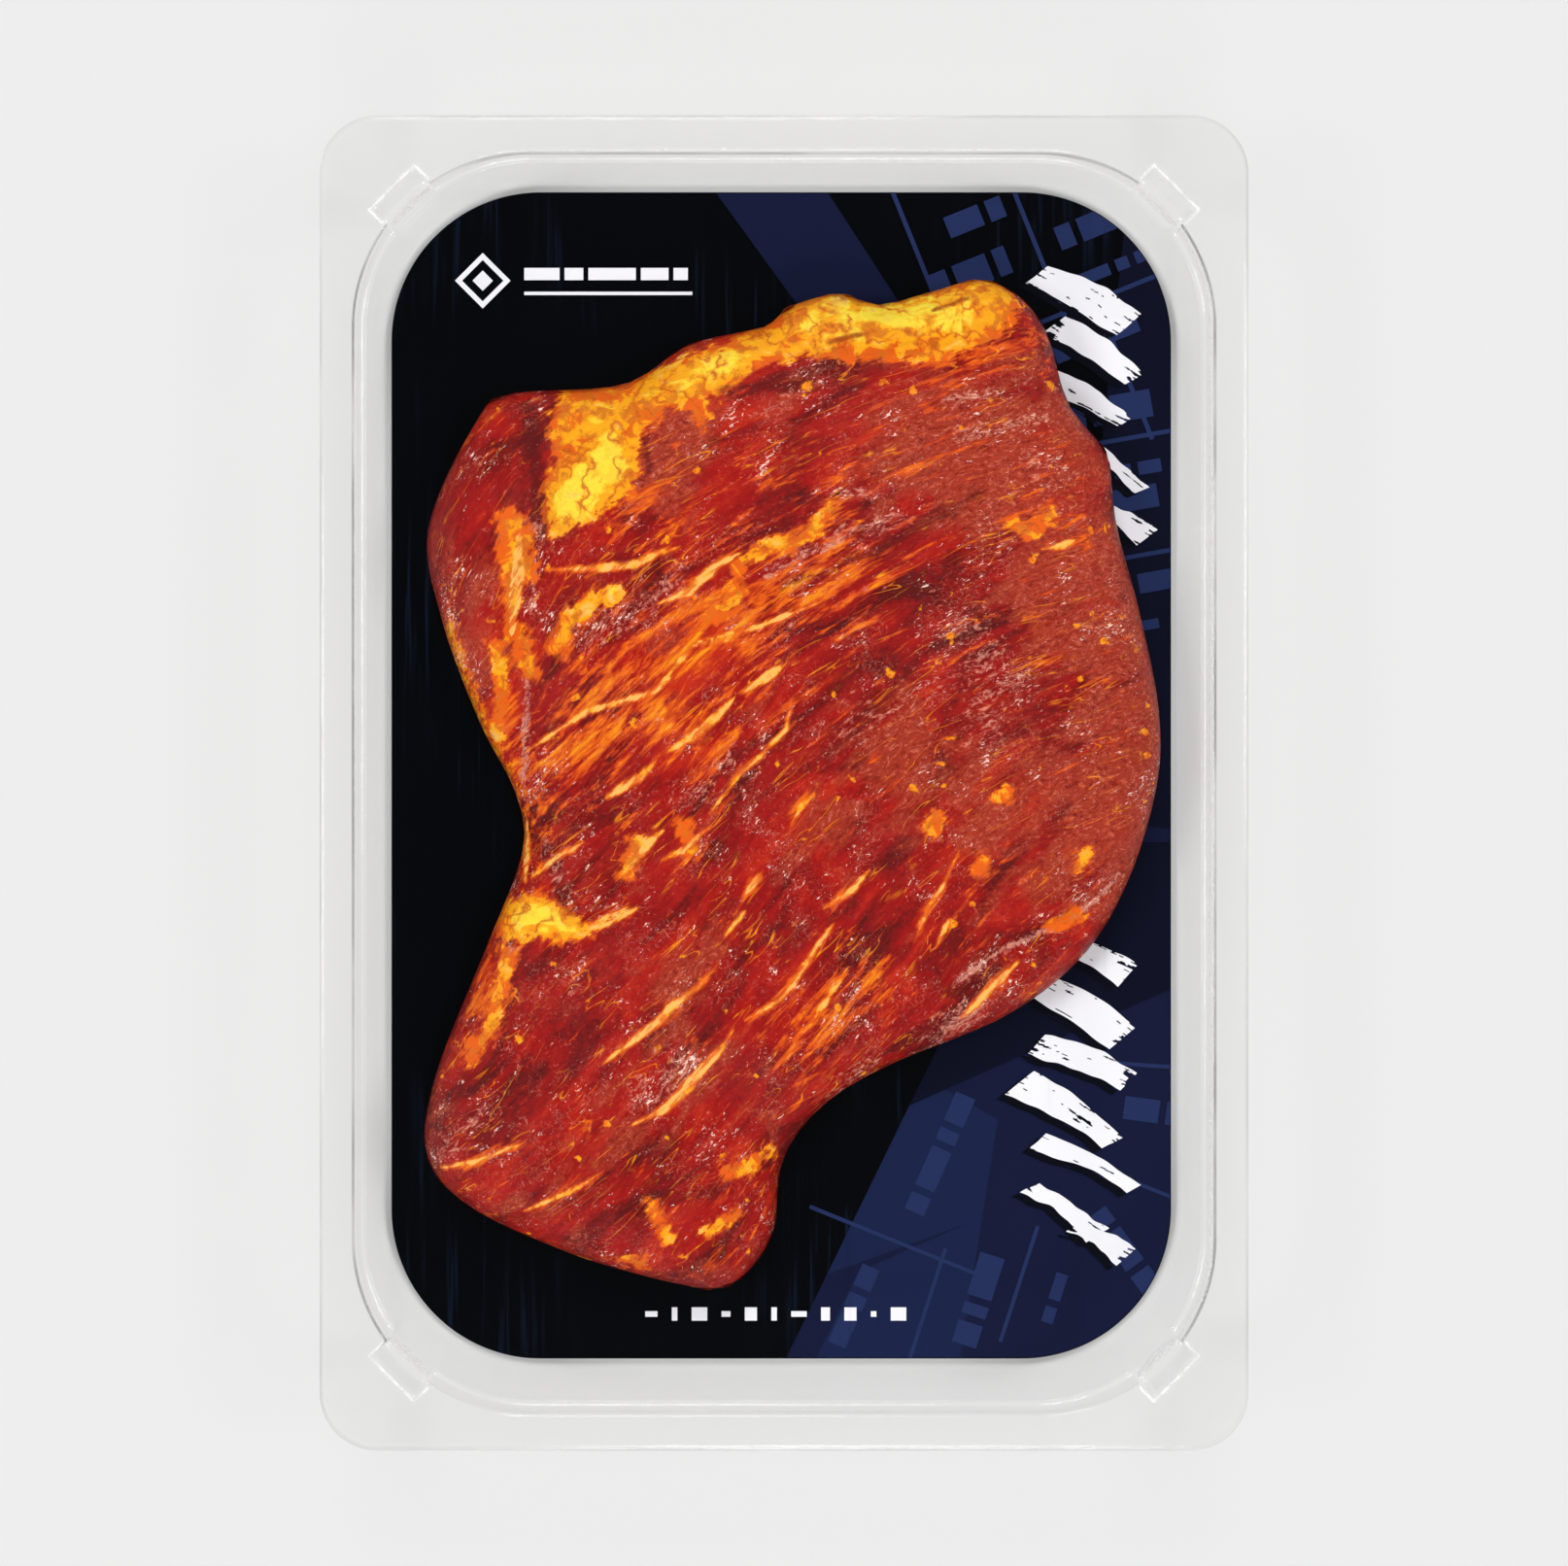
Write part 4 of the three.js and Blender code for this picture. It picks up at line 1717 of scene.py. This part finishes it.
@dataclass
class Steak:
    """The piece of meat."""

    centre: Point = (-7.5, -9.0)
    thickness: float = 12.6
    edge_height: float = 4.0
    edge_round: float = 9.5
    tuck: float = 2.6
    columns: int = 560
    top_rows: int = 138
    tuck_rows: int = 12
    base_rows: int = 4
    outline: Path = (
        (35.5, 89), (27, 87), (17.5, 84.6), (10, 86.5), (1.3, 84.2), (-3, 80.7), (-16.5, 77.5),
        (-28.5, 70.3), (-48.5, 68.6), (-55, 63.3), (-63.3, 44.5), (-60.8, 27.8), (-54, 9.5),
        (-47.9, -2.4), (-46.4, -13), (-52.9, -30.4), (-61.8, -52.8), (-63.6, -67.2), (-56, -76.8),
        (-37, -85.6), (-18.7, -90.7), (-11, -91.4), (-5.5, -88), (-1.4, -80.8), (0.2, -68.6),
        (7.2, -59), (19, -51.7), (39.5, -43.1), (53, -33), (61.4, -20), (67, -2.5), (67.6, 11.5),
        (64.2, 29), (60, 45), (58.6, 56.5), (56, 61), (52.4, 65), (50.2, 70), (47.4, 79.6),
        (42.6, 86),
    )
    relief: tuple[Relief, ...] = (
        Relief(((-44, 66), (-43, 48), (-44, 34), (-47, 18), (-46, 2)), 3.4, -1.9),
        Relief(((-33, 52), (-22, 62), (-14, 67), (-2, 75)), 6.5, 1.5),
        Relief(((4, 80), (18, 79), (32, 82)), 5.5, 1.2),
        Relief(((-8, 70), (4, 73.6), (28, 74), (39, 79)), 2.6, -1.3),
        Relief(((31, -36), (40, -30), (51, -25), (59, -18)), 2.8, -2.1),
        Relief(((-45, -15), (-38, -21), (-29, -18)), 4.5, -1.7),
        Relief(((2, -62), (-8, -57), (-18, -58)), 5.0, -1.2),
        Relief(((-57, -60), (-38, -52), (-18, -42)), 9.0, 1.3),
        Relief(((-36, 22), (-12, 34), (14, 42)), 5.0, 0.9),
        Relief(((-22, -6), (2, 10), (26, 22)), 7.0, 0.9),
        Relief(((38, 10), (44, 26), (40, 44)), 9.0, 1.1),
    )
    waves: tuple[tuple[float, float, float, float], ...] = (
        (46, 1.15, 0.55, 0.4), (29, 2.5, 0.35, 1.9), (15, 2.05, 0.22, 0.8),
    )
    fat_cap: Path = (
        (-39, 69), (-41.5, 61), (-40, 57.5), (-42.5, 51.5), (-41.5, 47), (-40.5, 42), (-34.5, 45.5),
        (-26.5, 50.5), (-25.5, 54), (-25, 60.5), (-20.5, 65), (-18, 65.5), (-14, 62), (-13, 67.5),
        (-7.5, 70), (-3, 73), (4, 74.5), (9, 74), (28, 74), (34, 76), (38.5, 78.5), (42.5, 84),
        (35, 92), (23.5, 90), (17, 88), (9.5, 90), (1, 88), (-3, 84), (-10.5, 76.5), (-16.5, 75.5),
        (-22.5, 72.5), (-28, 70), (-36.5, 70),
    )
    waist_fat: Path = (
        (-50.5, -24), (-48, -21), (-44, -20), (-40.5, -21.5), (-37, -24.5), (-33, -25.3),
        (-34, -27.5), (-39, -28.6), (-44, -28), (-49, -28.5), (-51.5, -27),
    )
    seam_fat: Path = (
        (-50, 44.2), (-44.3, 44.6), (-43.5, 35.4), (-46.5, 33.8), (-47.7, 24.7), (-49.2, 25.4),
        (-49.4, 33.9), (-50.6, 41.5),
    )
    streaks: tuple[Streak, ...] = (
        Streak(((-41.9, 36.9), (-32.8, 37.3), (-26.3, 37.7), (-22.5, 39.6), (-17.9, 41.1)), 0.8),
        Streak(((-22.4, 30.8), (-16.7, 33.1), (-11.7, 37.7), (-7.2, 40)), 0.9),
        Streak(((-46, 4.4), (-34.5, 12), (-22.5, 15.5), (-16, 23.5), (-7.5, 25)), 0.6),
        Streak(((-16, 24), (-4, 27), (6, 31)), 0.5),
        Streak(((-31.5, -3.5), (-25, 0.5), (-22.5, 3)), 0.9),
        Streak(((-21, 4.5), (-16, 7.5), (-11, 11.5), (-8.5, 14.5)), 0.8),
        Streak(((-8, 15), (-3, 18), (0.5, 20.5)), 0.8),
        Streak(((-13, -6), (-7, 1.5), (0.5, 8.5), (1.5, 13.5)), 0.5),
        Streak(((-28.5, -17.5), (-24, -11.5), (-21, -9)), 0.8),
        Streak(((-21.5, -14.5), (-17, -12), (-13, -8.5)), 0.6),
        Streak(((-6.9, -20.9), (-3.5, -16.1)), 0.7),
        Streak(((1.3, -8.3), (3.2, -4.8), (5.6, -2.7)), 0.6),
        Streak(((-10.5, -27.9), (-6.6, -23.3)), 0.4),
        Streak(((7.5, -22.7), (12.6, -19.2), (15.3, -16)), 0.6),
        Streak(((23.2, -28.9), (25.6, -22.7), (27.9, -19.2), (31.1, -12.5)), 0.5),
        Streak(((27.1, -29.8), (29.5, -24.7)), 0.5),
        Streak(((5.5, -30), (9, -25.5)), 0.5),
        Streak(((5.5, -42), (11.5, -33)), 0.5),
        Streak(((-6.6, -42.5), (-4.6, -41.3), (-0.8, -39), (2.1, -35.8), (5.9, -29.5)), 0.6),
        Streak(
            ((-32.1, -50.3), (-28.2, -47.3), (-22.3, -42.9), (-19.2, -39.4), (-14.5, -36.2),
             (-10.9, -31.9)), 0.8,
        ),
        Streak(
            ((-26.6, -61), (-21.1, -58.6), (-18, -55.8), (-14.8, -51.9), (-10.9, -47.6),
             (-8.6, -44)), 1.0,
        ),
        Streak(((-34.5, -26), (-32.1, -24.8), (-27, -22.4)), 0.4),
        Streak(((-45.5, -76), (-38, -73), (-31.5, -69)), 0.5),
        Streak(((-61, -69), (-54, -67), (-45.5, -64)), 0.5),
        Streak(((-46.3, 45), (-46.6, 38), (-47.5, 31), (-47.8, 25)), 1.3),
        Streak(((-45.4, -7.5), (-45.6, -18.5)), 0.6),
        Streak(((-38, -26.8), (-31, -25.6), (-25, -22.4)), 0.5),
        Streak(((-44.5, -17.5), (-39.5, -13.5), (-35, -11)), 0.6),
        Streak(((31.5, -42.5), (36.5, -37.5), (42, -32)), 0.8),
        Streak(((45.5, 40.5), (48.9, 41), (52, 42.4)), 0.6),
    )
    morsels: tuple[Patch, ...] = (
        Patch(((-39.6, 23.5), (-38.1, 27), (-35.1, 30.4), (-29.7, 32.7)), 1.5),
        Patch(((-7.8, 37.4), (-3, 40.9), (2.7, 41.8), (5.3, 44), (8.8, 48.3)), 1.2),
        Patch(((-13.3, 28.5), (-10, 30.5), (-8, 33.5)), 1.4),
        Patch(((-55.4, -48.8), (-51.8, -44), (-49.4, -37.3), (-48.7, -30.7)), 1.4),
        Patch(((-9.5, -68.5), (-6, -68.5), (-2.5, -66.5)), 1.2),
        Patch(((-23, -75), (-21.5, -78), (-20, -81)), 1.0),
        Patch(((-13, -80), (-8, -76.5)), 0.8),
        Patch(((-50.5, 23.5), (-49.5, 16.5), (-50.5, 8)), 1.3),
        Patch(((-46.8, 25.8), (-45.2, 22), (-44.6, 19)), 1.6),
        Patch(((-48.2, 45.5), (-47.4, 42), (-46.6, 37)), 2.0),
        Patch(((26, -8.5), (27, -6.5)), 1.6),
        Patch(((38, -3.5), (39.5, -2.5)), 1.0),
        Patch(((34.5, -16), (35.5, -15)), 1.3),
        Patch(((52, -15.4), (53, -13.8)), 1.3),
        Patch(((40.6, 45), (42, 44.2), (44.5, 43)), 1.1),
        Patch(((45.8, 45.6), (47.2, 46.6)), 1.1),
        Patch(((-27, -85), (-25, -85.5)), 1.2),
        Patch(((-18, -8), (-15.5, -12.5)), 1.2),
        Patch(((-26, -11), (-27.5, -16.5)), 1.3),
        Patch(((48, -26), (52, -24)), 1.2),
    )
    oily: tuple[Patch, ...] = (
        Patch(((-36, 14), (-14, 26), (8, 36)), 11, 0.72),
        Patch(((-40, 4), (-20, 12)), 9, 0.75),
        Patch(((-48, 12), (-45, -8)), 4, 0.8),
        Patch(((2, -48), (16, -36)), 8, 0.65),
        Patch(((-54, -40), (-50, -30)), 5, 0.6),
        Patch(((-10, -84), (-6, -74)), 6, 0.4),
        Patch(((30, 70), (44, 76)), 6, 0.5),
        Patch(((-30, 44), (-14, 50)), 7, 0.35),
        Patch(((-60, 27.5), (-55.5, 13), (-50, 1), (-46, -13)), 2.4, 1.3),
        Patch(((-20, 46), (8, 52), (30, 60)), 9, 0.3),
        Patch(((-30, -4), (-4, 12)), 10, 0.4),
        Patch(((26, -30), (34, -18)), 8, 0.3),
        Patch(((44, 50), (52, 44)), 6, 0.5),
    )
    brownish: tuple[Patch, ...] = (
        Patch(((58, -10), (60, 20), (50, 48), (30, 60)), 15, 0.9),
        Patch(((16, 4), (36, -4), (52, 0)), 12, 0.8),
        Patch(((-20, 56), (0, 58), (24, 66)), 8, 0.3),
        Patch(((-18, -38), (-10, -48)), 8, 0.5),
        Patch(((-56, 34), (-54, 22)), 6, 0.5),
        Patch(((-22, 52), (-16, 60)), 6.5, 1.0),
    )
    # Pale patches: silverskin and smears, and in part a painted sheen.
    hazy: tuple[Patch, ...] = (
        Patch(((-61, -66.5), (-56.5, -62), (-52, -58.5)), 3.0, 0.7),
        Patch(((-25.5, -55.5), (-20.5, -52.5), (-16.5, -50.5)), 4.0, 0.75),
        Patch(((31, 60), (39.5, 62.5), (46.5, 64)), 1.3, 1.0),
        Patch(((29, 67), (36, 68)), 1.3, 0.9),
        Patch(((-2.5, 37), (11.5, 43.5), (21, 46)), 1.6, 1.0),
        Patch(((9, 50.5), (15, 50.5)), 1.2, 0.9),
        Patch(((31, -36), (39.5, -30), (50.5, -25), (55, -22), (60, -17)), 0.8, 1.3),
        Patch(((27, -45), (34, -41.5)), 3.0, 1.1),
        Patch(((33.5, 24.5), (38.5, 17.5), (36.5, 11.5)), 6.0, 0.7),
        Patch(((-35, 25), (-25, 31), (-18, 36.5)), 3.0, 0.8),
        Patch(((43.5, 57), (48.5, 48.5)), 4.0, 0.5),
        Patch(((-18, -3), (-8, 2)), 3.5, 0.6),
        Patch(((9.5, -56), (16, -50)), 2.5, 0.7),
        Patch(((-45, 19.5), (-45.5, 10.5), (-46, 0)), 0.8, 1.2),
        Patch(((-47, 46), (-43, 44), (-44.5, 30)), 0.9, 1.1),
        Patch(((6, 8), (26, 14)), 6.0, 0.45),
        Patch(((-49.5, -26.5), (-48, -30)), 1.4, 1.0),
        Patch(((-41.5, -12), (-38.5, -20)), 2.2, 0.7),
        Patch(((-48.5, 43), (-46.5, 37)), 2.0, 0.8),
        Patch(((-4, 64), (2, 67)), 2.0, 0.7),
    )
    # Painted shade along the valleys and folds, with some darker meat.
    shade_and_dark_patches: tuple[Patch, ...] = (
        Patch(((-45, 66), (-43.5, 54), (-43, 44)), 2.2, 1.0),
        Patch(((-24, 76), (-17, 79)), 2.6, 0.9),
        Patch(((-10, 68), (4, 70)), 2.6, 0.8),
        Patch(((0, 34), (18, 41), (34, 50)), 2.0, 0.7),
        Patch(((40, 20), (50, 10)), 6.0, 0.5),
        Patch(((-38, -22), (-30, -16)), 5.0, 0.45),
        Patch(((-44, -32), (-30, -34)), 6.0, 0.5),
        Patch(((-40, -56), (-30, -52)), 7.0, 0.25),
        Patch(((30, -38), (38, -34)), 1.6, 0.9),
        Patch(((-20, -74), (-10, -72)), 2.2, 0.7),
        Patch(((-58, 58), (-62, 44), (-58, 26)), 3.0, 0.4),
        Patch(((8.1, 77), (12, 78), (16.2, 79)), 0.9, 0.9),
        Patch(((26.5, 82.7), (33, 85)), 0.8, 0.8),
        Patch(((-10.5, 68.5), (-4.5, 69.5), (0.5, 71.5)), 1.4, 0.9),
        Patch(((-42, 59), (-37, 57.5)), 0.7, 0.7),
        Patch(((-24.5, 61), (-23.5, 54)), 0.8, 0.8),
        Patch(((-43, -12), (-40, -15)), 2.6, 0.9),
        Patch(((-39.5, -18), (-37.5, -23)), 2.2, 0.9),
        Patch(((-52, -64), (-30, -66), (-14, -64)), 7.0, 0.35),
        Patch(((-30, -30), (-16, -24), (-4, -26)), 7.0, 0.35),
    )
    rich: tuple[Patch, ...] = (
        Patch(((-38, 48), (-33, 51.5), (-29, 55.5)), 4.5, 1.15),
        Patch(((-14, 72), (-9, 75)), 4, 0.8),
        Patch(((14, 81), (26, 82)), 4, 0.7),
        Patch(((-47, -24), (-42, -25)), 3.5, 1.1),
        Patch(((-38, -27), (-30, -25)), 4, -0.5),
        Patch(((-20, 70), (-16, 72)), 3, -0.4),
    )
    # Width and strength of the painted shade at the rounded edge.
    rim_shade_width: float = 1.7
    rim_shade_strength: float = 0.75
    fibre_waves: tuple[tuple[float, float, float, float], ...] = (
        (0.07, 0.33, 3.0, 0.34), (0.16, 0.62, 9.0, 0.17), (0.11, 0.11, 21.0, 0.36),
    )
    edge_steps: int = 40
    edge_stride: int = 4
    fat_limit: float = 6.0
    line_limit: float = 8.0
    line_taper: float = 2.4
    tip_share: float = 0.1
    line_reach: float = 2.0
    finish: MarinatedMeat = field(default_factory=MarinatedMeat)

    def __post_init__(self) -> None:
        """Takes the underside's height from the frame."""
        self.base = node_box("steak")[0].z
        self.grain = GrainField()

    def edge(self) -> np.ndarray:
        """The outline as a smooth closed curve, with one point for each column."""
        corners = np.array(self.outline, dtype=float)
        fine = []
        for number in range(len(corners)):
            p0, p1, p2, p3 = (corners[(number + shift) % len(corners)] for shift in (-1, 0, 1, 2))
            for t in np.linspace(0, 1, self.edge_steps, endpoint=False):
                fine.append(0.5 * (
                    2 * p1 + (p2 - p0) * t + (2 * p0 - 5 * p1 + 4 * p2 - p3) * t * t
                    + (3 * p1 - p0 - 3 * p2 + p3) * t ** 3
                ))
        curve = np.array(fine)
        closed = np.vstack([curve, curve[:1]])
        run = np.concatenate([[0], np.cumsum(np.hypot(*np.diff(closed, axis=0).T))])
        places = np.linspace(0, run[-1], self.columns, endpoint=False)
        return np.stack([np.interp(places, run, closed[:, axis]) for axis in (0, 1)], axis=1)

    def fibres(self, points: np.ndarray) -> np.ndarray:
        """Low ridges along the grain, and soft dents.

        Each of the fibre waves has its count for a millimetre along and across the grain, the
        noise's third place and its height.

        Args:
            points: The points, one a row.

        Returns:
            Their heights.
        """
        along = self.grain.read(self.grain.along, points)
        across = self.grain.read(self.grain.across, points)
        heights = np.empty(len(points))
        for number, (s, t) in enumerate(zip(along, across)):
            heights[number] = sum(
                rise * noise.noise(Vector((s * along_count, t * across_count, depth)))
                for along_count, across_count, depth, rise in self.fibre_waves
            )
        return heights

    def edge_gap(self, points: np.ndarray) -> np.ndarray:
        """How far points are from the outline.

        Args:
            points: The points, one a row.

        Returns:
            Their distances.
        """
        edge = self.edge()
        closed = [tuple(point) for point in np.vstack([edge[::self.edge_stride], edge[:1]])]
        return path_distance(points, closed)[0]

    def top(self, points: np.ndarray) -> np.ndarray:
        """Height of the steak's top.

        Args:
            points: The points, one a row.

        Returns:
            Their heights.
        """
        height = np.full(len(points), self.thickness)
        for item in self.relief:
            share = path_distance(points, item.path)[0] / item.half
            height += item.height * np.exp(-share * share)
        for length, angle, rise, phase in self.waves:
            along = points[:, 0] * math.cos(angle) + points[:, 1] * math.sin(angle)
            height += rise * np.sin(2 * math.pi * along / length + phase)
        height += self.fibres(points)
        near = 1 - np.clip(self.edge_gap(points) / self.edge_round, 0, 1)
        round_off = np.sqrt(1 - near * near)
        return self.base + self.edge_height + (height - self.edge_height) * round_off

    def pull(self, edge: np.ndarray, shares: float | np.ndarray) -> np.ndarray:
        """The outline drawn in towards the centre.

        Args:
            edge: The outline's points.
            shares: How much of the way out the ring lies.

        Returns:
            The ring's points.
        """
        centre = np.array(self.centre)
        return centre + (edge - centre) * np.reshape(shares, (-1, 1))

    def mesh(self) -> bmesh.types.BMesh:
        """The steak's skin, ring by ring from the underside to the top.

        Returns:
            The mesh.
        """
        edge = self.edge()
        loft = Loft(self.columns)
        away = np.hypot(*(edge - np.array(self.centre)).T)
        for row in range(1, self.base_rows):
            loft.ring(self.pull(edge, row / self.base_rows), self.base)
        for row in range(self.tuck_rows):
            turn = math.pi / 2 * row / self.tuck_rows
            ring = self.pull(edge, 1 - self.tuck * (1 - math.sin(turn)) / away)
            loft.ring(ring, self.base + self.edge_height * (1 - math.cos(turn)))
        rings = []
        for row in range(self.top_rows, 0, -1):
            part = row / self.top_rows
            share = 0.55 * math.sin(math.pi / 2 * part) + 0.45 * (1 - (1 - part) ** 1.6)
            rings.append(self.pull(edge, share))
        points = np.vstack(rings)
        levels = self.top(points)
        for row, ring in enumerate(rings):
            start = row * self.columns
            loft.ring(ring, levels[start:start + self.columns].tolist())
        return loft.close()

    def fat_depth(self, points: np.ndarray) -> np.ndarray:
        """How deep inside fat each point lies, below zero outside.

        Args:
            points: The points, one a row.

        Returns:
            The depths.
        """
        depth = np.full(len(points), -self.fat_limit)
        for region in (self.fat_cap, self.waist_fat, self.seam_fat):
            gap = path_distance(points, region + region[:1])[0]
            depth = np.maximum(depth, np.where(inside(points, region), gap, -gap))
        for morsel in self.morsels:
            depth = np.maximum(depth, morsel.half - path_distance(points, morsel.path)[0])
        return np.clip(depth, -self.fat_limit, self.fat_limit)

    def streak_lines(self, points: np.ndarray) -> np.ndarray:
        """Where each point lies beside its nearest streak.

        Args:
            points: The points, one a row.

        Returns:
            For each point its signed distance from the streak's middle line, and the streak's half
            width there, which is below zero past its ends and far from it.
        """
        best = np.full(len(points), -np.inf)
        lines = np.zeros((len(points), 3))
        for streak in self.streaks:
            corners = np.array(streak.path, dtype=float)
            spans = corners[1:] - corners[:-1]
            lengths = np.hypot(*spans.T)
            nearest = np.full(len(points), np.inf)
            found = np.zeros((len(points), 3))
            done = 0.0
            for start, span, length in zip(corners[:-1], spans, lengths):
                offset = points - start
                along = offset @ span / length
                across = (offset[:, 1] * span[0] - offset[:, 0] * span[1]) / length
                over = np.maximum(0, np.maximum(-along, along - length))
                gap = np.hypot(across, over)
                share = np.clip((done + along) / lengths.sum(), 0, 1)
                taper = 1 - np.abs(2 * share - 1) ** self.line_taper
                width = streak.half_width * (self.tip_share + (1 - self.tip_share) * taper) - over
                width -= 2 * np.maximum(0, gap - self.line_reach)
                nearer = gap < nearest
                nearest = np.where(nearer, gap, nearest)
                found[nearer, 0] = across[nearer]
                found[nearer, 1] = width[nearer]
                done += float(length)
            score = found[:, 1] - np.abs(found[:, 0])
            better = score > best
            best = np.where(better, score, best)
            lines[better] = found[better]
        return np.clip(lines, -self.line_limit, self.line_limit)

    def oil_share(self, points: np.ndarray) -> np.ndarray:
        """How much oil has drawn in.

        Args:
            points: The points, one a row.

        Returns:
            The shares.
        """
        oil = np.zeros(len(points))
        for streak in self.streaks:
            gap, share = path_distance(points, streak.path)
            reach = streak.glow * (0.4 + 0.6 * (1 - np.abs(2 * share - 1) ** 2))
            oil = np.maximum(oil, streak.oil * np.exp(-((gap / reach) ** 2)))
        return np.maximum(oil, self.patched(points, self.oily))

    def patched(self, points: np.ndarray, patches: Sequence[Patch]) -> np.ndarray:
        """Strength of the strongest patch.

        Args:
            points: The points, one a row.
            patches: The patches.

        Returns:
            The strengths.
        """
        strength = np.zeros(len(points))
        for patch in patches:
            gap = path_distance(points, patch.path)[0]
            strength = np.maximum(strength, patch.strength * np.exp(-((gap / patch.half) ** 2)))
        return strength

    def rim_shade(self, points: np.ndarray) -> np.ndarray:
        """How dark the painted shade at the rounded edge is.

        Args:
            points: The points, one a row.

        Returns:
            The shares.
        """
        return self.rim_shade_strength * np.exp(-((self.edge_gap(points) / self.rim_shade_width) ** 2))

    def paint(self, piece: bpy.types.Object) -> None:
        """Writes what the finish reads on to the mesh.

        Args:
            piece: The steak.
        """
        mesh = piece.data
        places = np.empty(len(mesh.vertices) * 3)
        mesh.vertices.foreach_get("co", places)
        places = places.reshape(-1, 3) / METRE
        points = places[:, :2]
        grain = np.stack([
            self.grain.read(self.grain.along, points),
            self.grain.read(self.grain.across, points),
            places[:, 2],
        ], axis=1)
        for name, vectors in ((Field.GRAIN, grain), (Field.STREAK, self.streak_lines(points))):
            made = mesh.attributes.new(name.value, "FLOAT_VECTOR", "POINT")
            made.data.foreach_set("vector", vectors.ravel())
        values: dict[Field, Callable[[np.ndarray], np.ndarray]] = {
            Field.FAT: self.fat_depth,
            Field.OIL: self.oil_share,
            Field.BROWN: lambda at: self.patched(at, self.brownish),
            Field.HAZE: lambda at: self.patched(at, self.hazy),
            # Painted shade of the valleys, folds and rounded edge, with some darker meat.
            Field.DARK: lambda at: np.maximum(self.patched(at, self.shade_and_dark_patches), self.rim_shade(at)),
            Field.RICH: lambda at: self.patched(at, self.rich),
        }
        for name, measure in values.items():
            made = mesh.attributes.new(name.value, "FLOAT", "POINT")
            made.data.foreach_set("value", measure(points))

    def build(self) -> bpy.types.Object:
        """Makes the steak.

        Returns:
            The piece.
        """
        piece = add_piece("steak_meat", self.mesh(), self.finish.material(), "steak")
        self.paint(piece)
        return piece


@dataclass
class Studio:
    """The floor, the lamps, the sky and the camera."""

    floor_size: float = 2.6
    floor_colour: Colour = srgb(222, 222, 222)
    floor_cloud: Colour = (0.8, 0.8, 0.8, 1.0)
    zenith: float = 0.14
    horizon: float = 0.95
    sky_curve: float = 0.5
    lamp_distance: float = 1.5
    lamp_size: float = 0.6
    lamp_power: float = 14.9
    lamp_turn: float = math.radians(4)
    camera_place: tuple[float, float, float] = (-0.010, 0.027, 0.501)
    lens: float = 63.4
    shift: Point = (0.037, -0.10)
    clip_start: float = 0.01

    def floor(self) -> None:
        """Makes the pale floor."""
        bm = bmesh.new()
        bmesh.ops.create_grid(bm, x_segments=1, y_segments=1, size=self.floor_size / 2)
        mesh = bpy.data.meshes.new("floor")
        bm.to_mesh(mesh)
        bm.free()
        shader = Shader("pale floor")
        tone = shader.grain(shader.place(), 3.0, detail=2.0)
        cloudy = shader.step(tone, 0.3, 0.7, 0.0, 0.02)
        colour = shader.blend(cloudy, self.floor_colour, self.floor_cloud)
        body = shader.node(
            "ShaderNodeBsdfPrincipled",
            {"Base Color": colour, "Roughness": 0.9, "Specular IOR Level": 0.0},
        )
        mesh.materials.append(shader.finish(body.outputs[0]))
        floor = bpy.data.objects.new("floor", mesh)
        bpy.context.scene.collection.objects.link(floor)

    def sky(self) -> None:
        """Makes the soft light from all round, dimmer overhead."""
        world = bpy.data.worlds.new("studio")
        bpy.context.scene.world = world
        world.use_nodes = True
        tree = world.node_tree
        tree.nodes.clear()
        place, split, curve, height, light, output = (
            tree.nodes.new(f"ShaderNode{kind}")
            for kind in ("TexCoord", "SeparateXYZ", "Math", "MapRange", "Background", "OutputWorld")
        )
        curve.operation = "POWER"
        curve.inputs[1].default_value = self.sky_curve
        height.inputs["To Min"].default_value = self.horizon
        height.inputs["To Max"].default_value = self.zenith
        tree.links.new(place.outputs["Generated"], split.inputs[0])
        tree.links.new(split.outputs["Z"], curve.inputs[0])
        tree.links.new(curve.outputs[0], height.inputs["Value"])
        tree.links.new(height.outputs["Result"], light.inputs["Strength"])
        tree.links.new(light.outputs[0], output.inputs["Surface"])

    def lamps(self) -> None:
        """Makes four soft lamps round the pack."""
        for number in range(4):
            angle = self.lamp_turn + math.pi / 2 * number
            data = bpy.data.lights.new(f"lamp_{number}", "AREA")
            data.shape = "DISK"
            data.size = self.lamp_size
            data.energy = self.lamp_power
            lamp = bpy.data.objects.new(f"lamp_{number}", data)
            place = Vector((math.cos(angle), math.sin(angle), 1.0)) * self.lamp_distance
            lamp.location = place
            lamp.rotation_euler = (-place).to_track_quat("-Z", "Y").to_euler()
            bpy.context.scene.collection.objects.link(lamp)

    def camera(self) -> None:
        """Makes the camera, which looks straight down."""
        data = bpy.data.cameras.new("camera")
        data.lens = self.lens
        data.shift_x, data.shift_y = self.shift
        data.clip_start = self.clip_start
        camera = bpy.data.objects.new("camera", data)
        camera.location = self.camera_place
        bpy.context.scene.collection.objects.link(camera)
        bpy.context.scene.camera = camera

    def build(self) -> None:
        """Makes the studio."""
        self.floor()
        self.sky()
        self.lamps()
        self.camera()
        bpy.context.scene.view_settings.view_transform = "Standard"
        LOG.info("studio ready")


def main() -> None:
    """Builds the pack and its studio in order."""
    logging.basicConfig(level=logging.INFO, format="%(name)s: %(message)s")
    Studio().build()
    Tray().build()
    Card().build()
    Steak().build()
    Film().build()


if __name__ == "__main__":
    main()
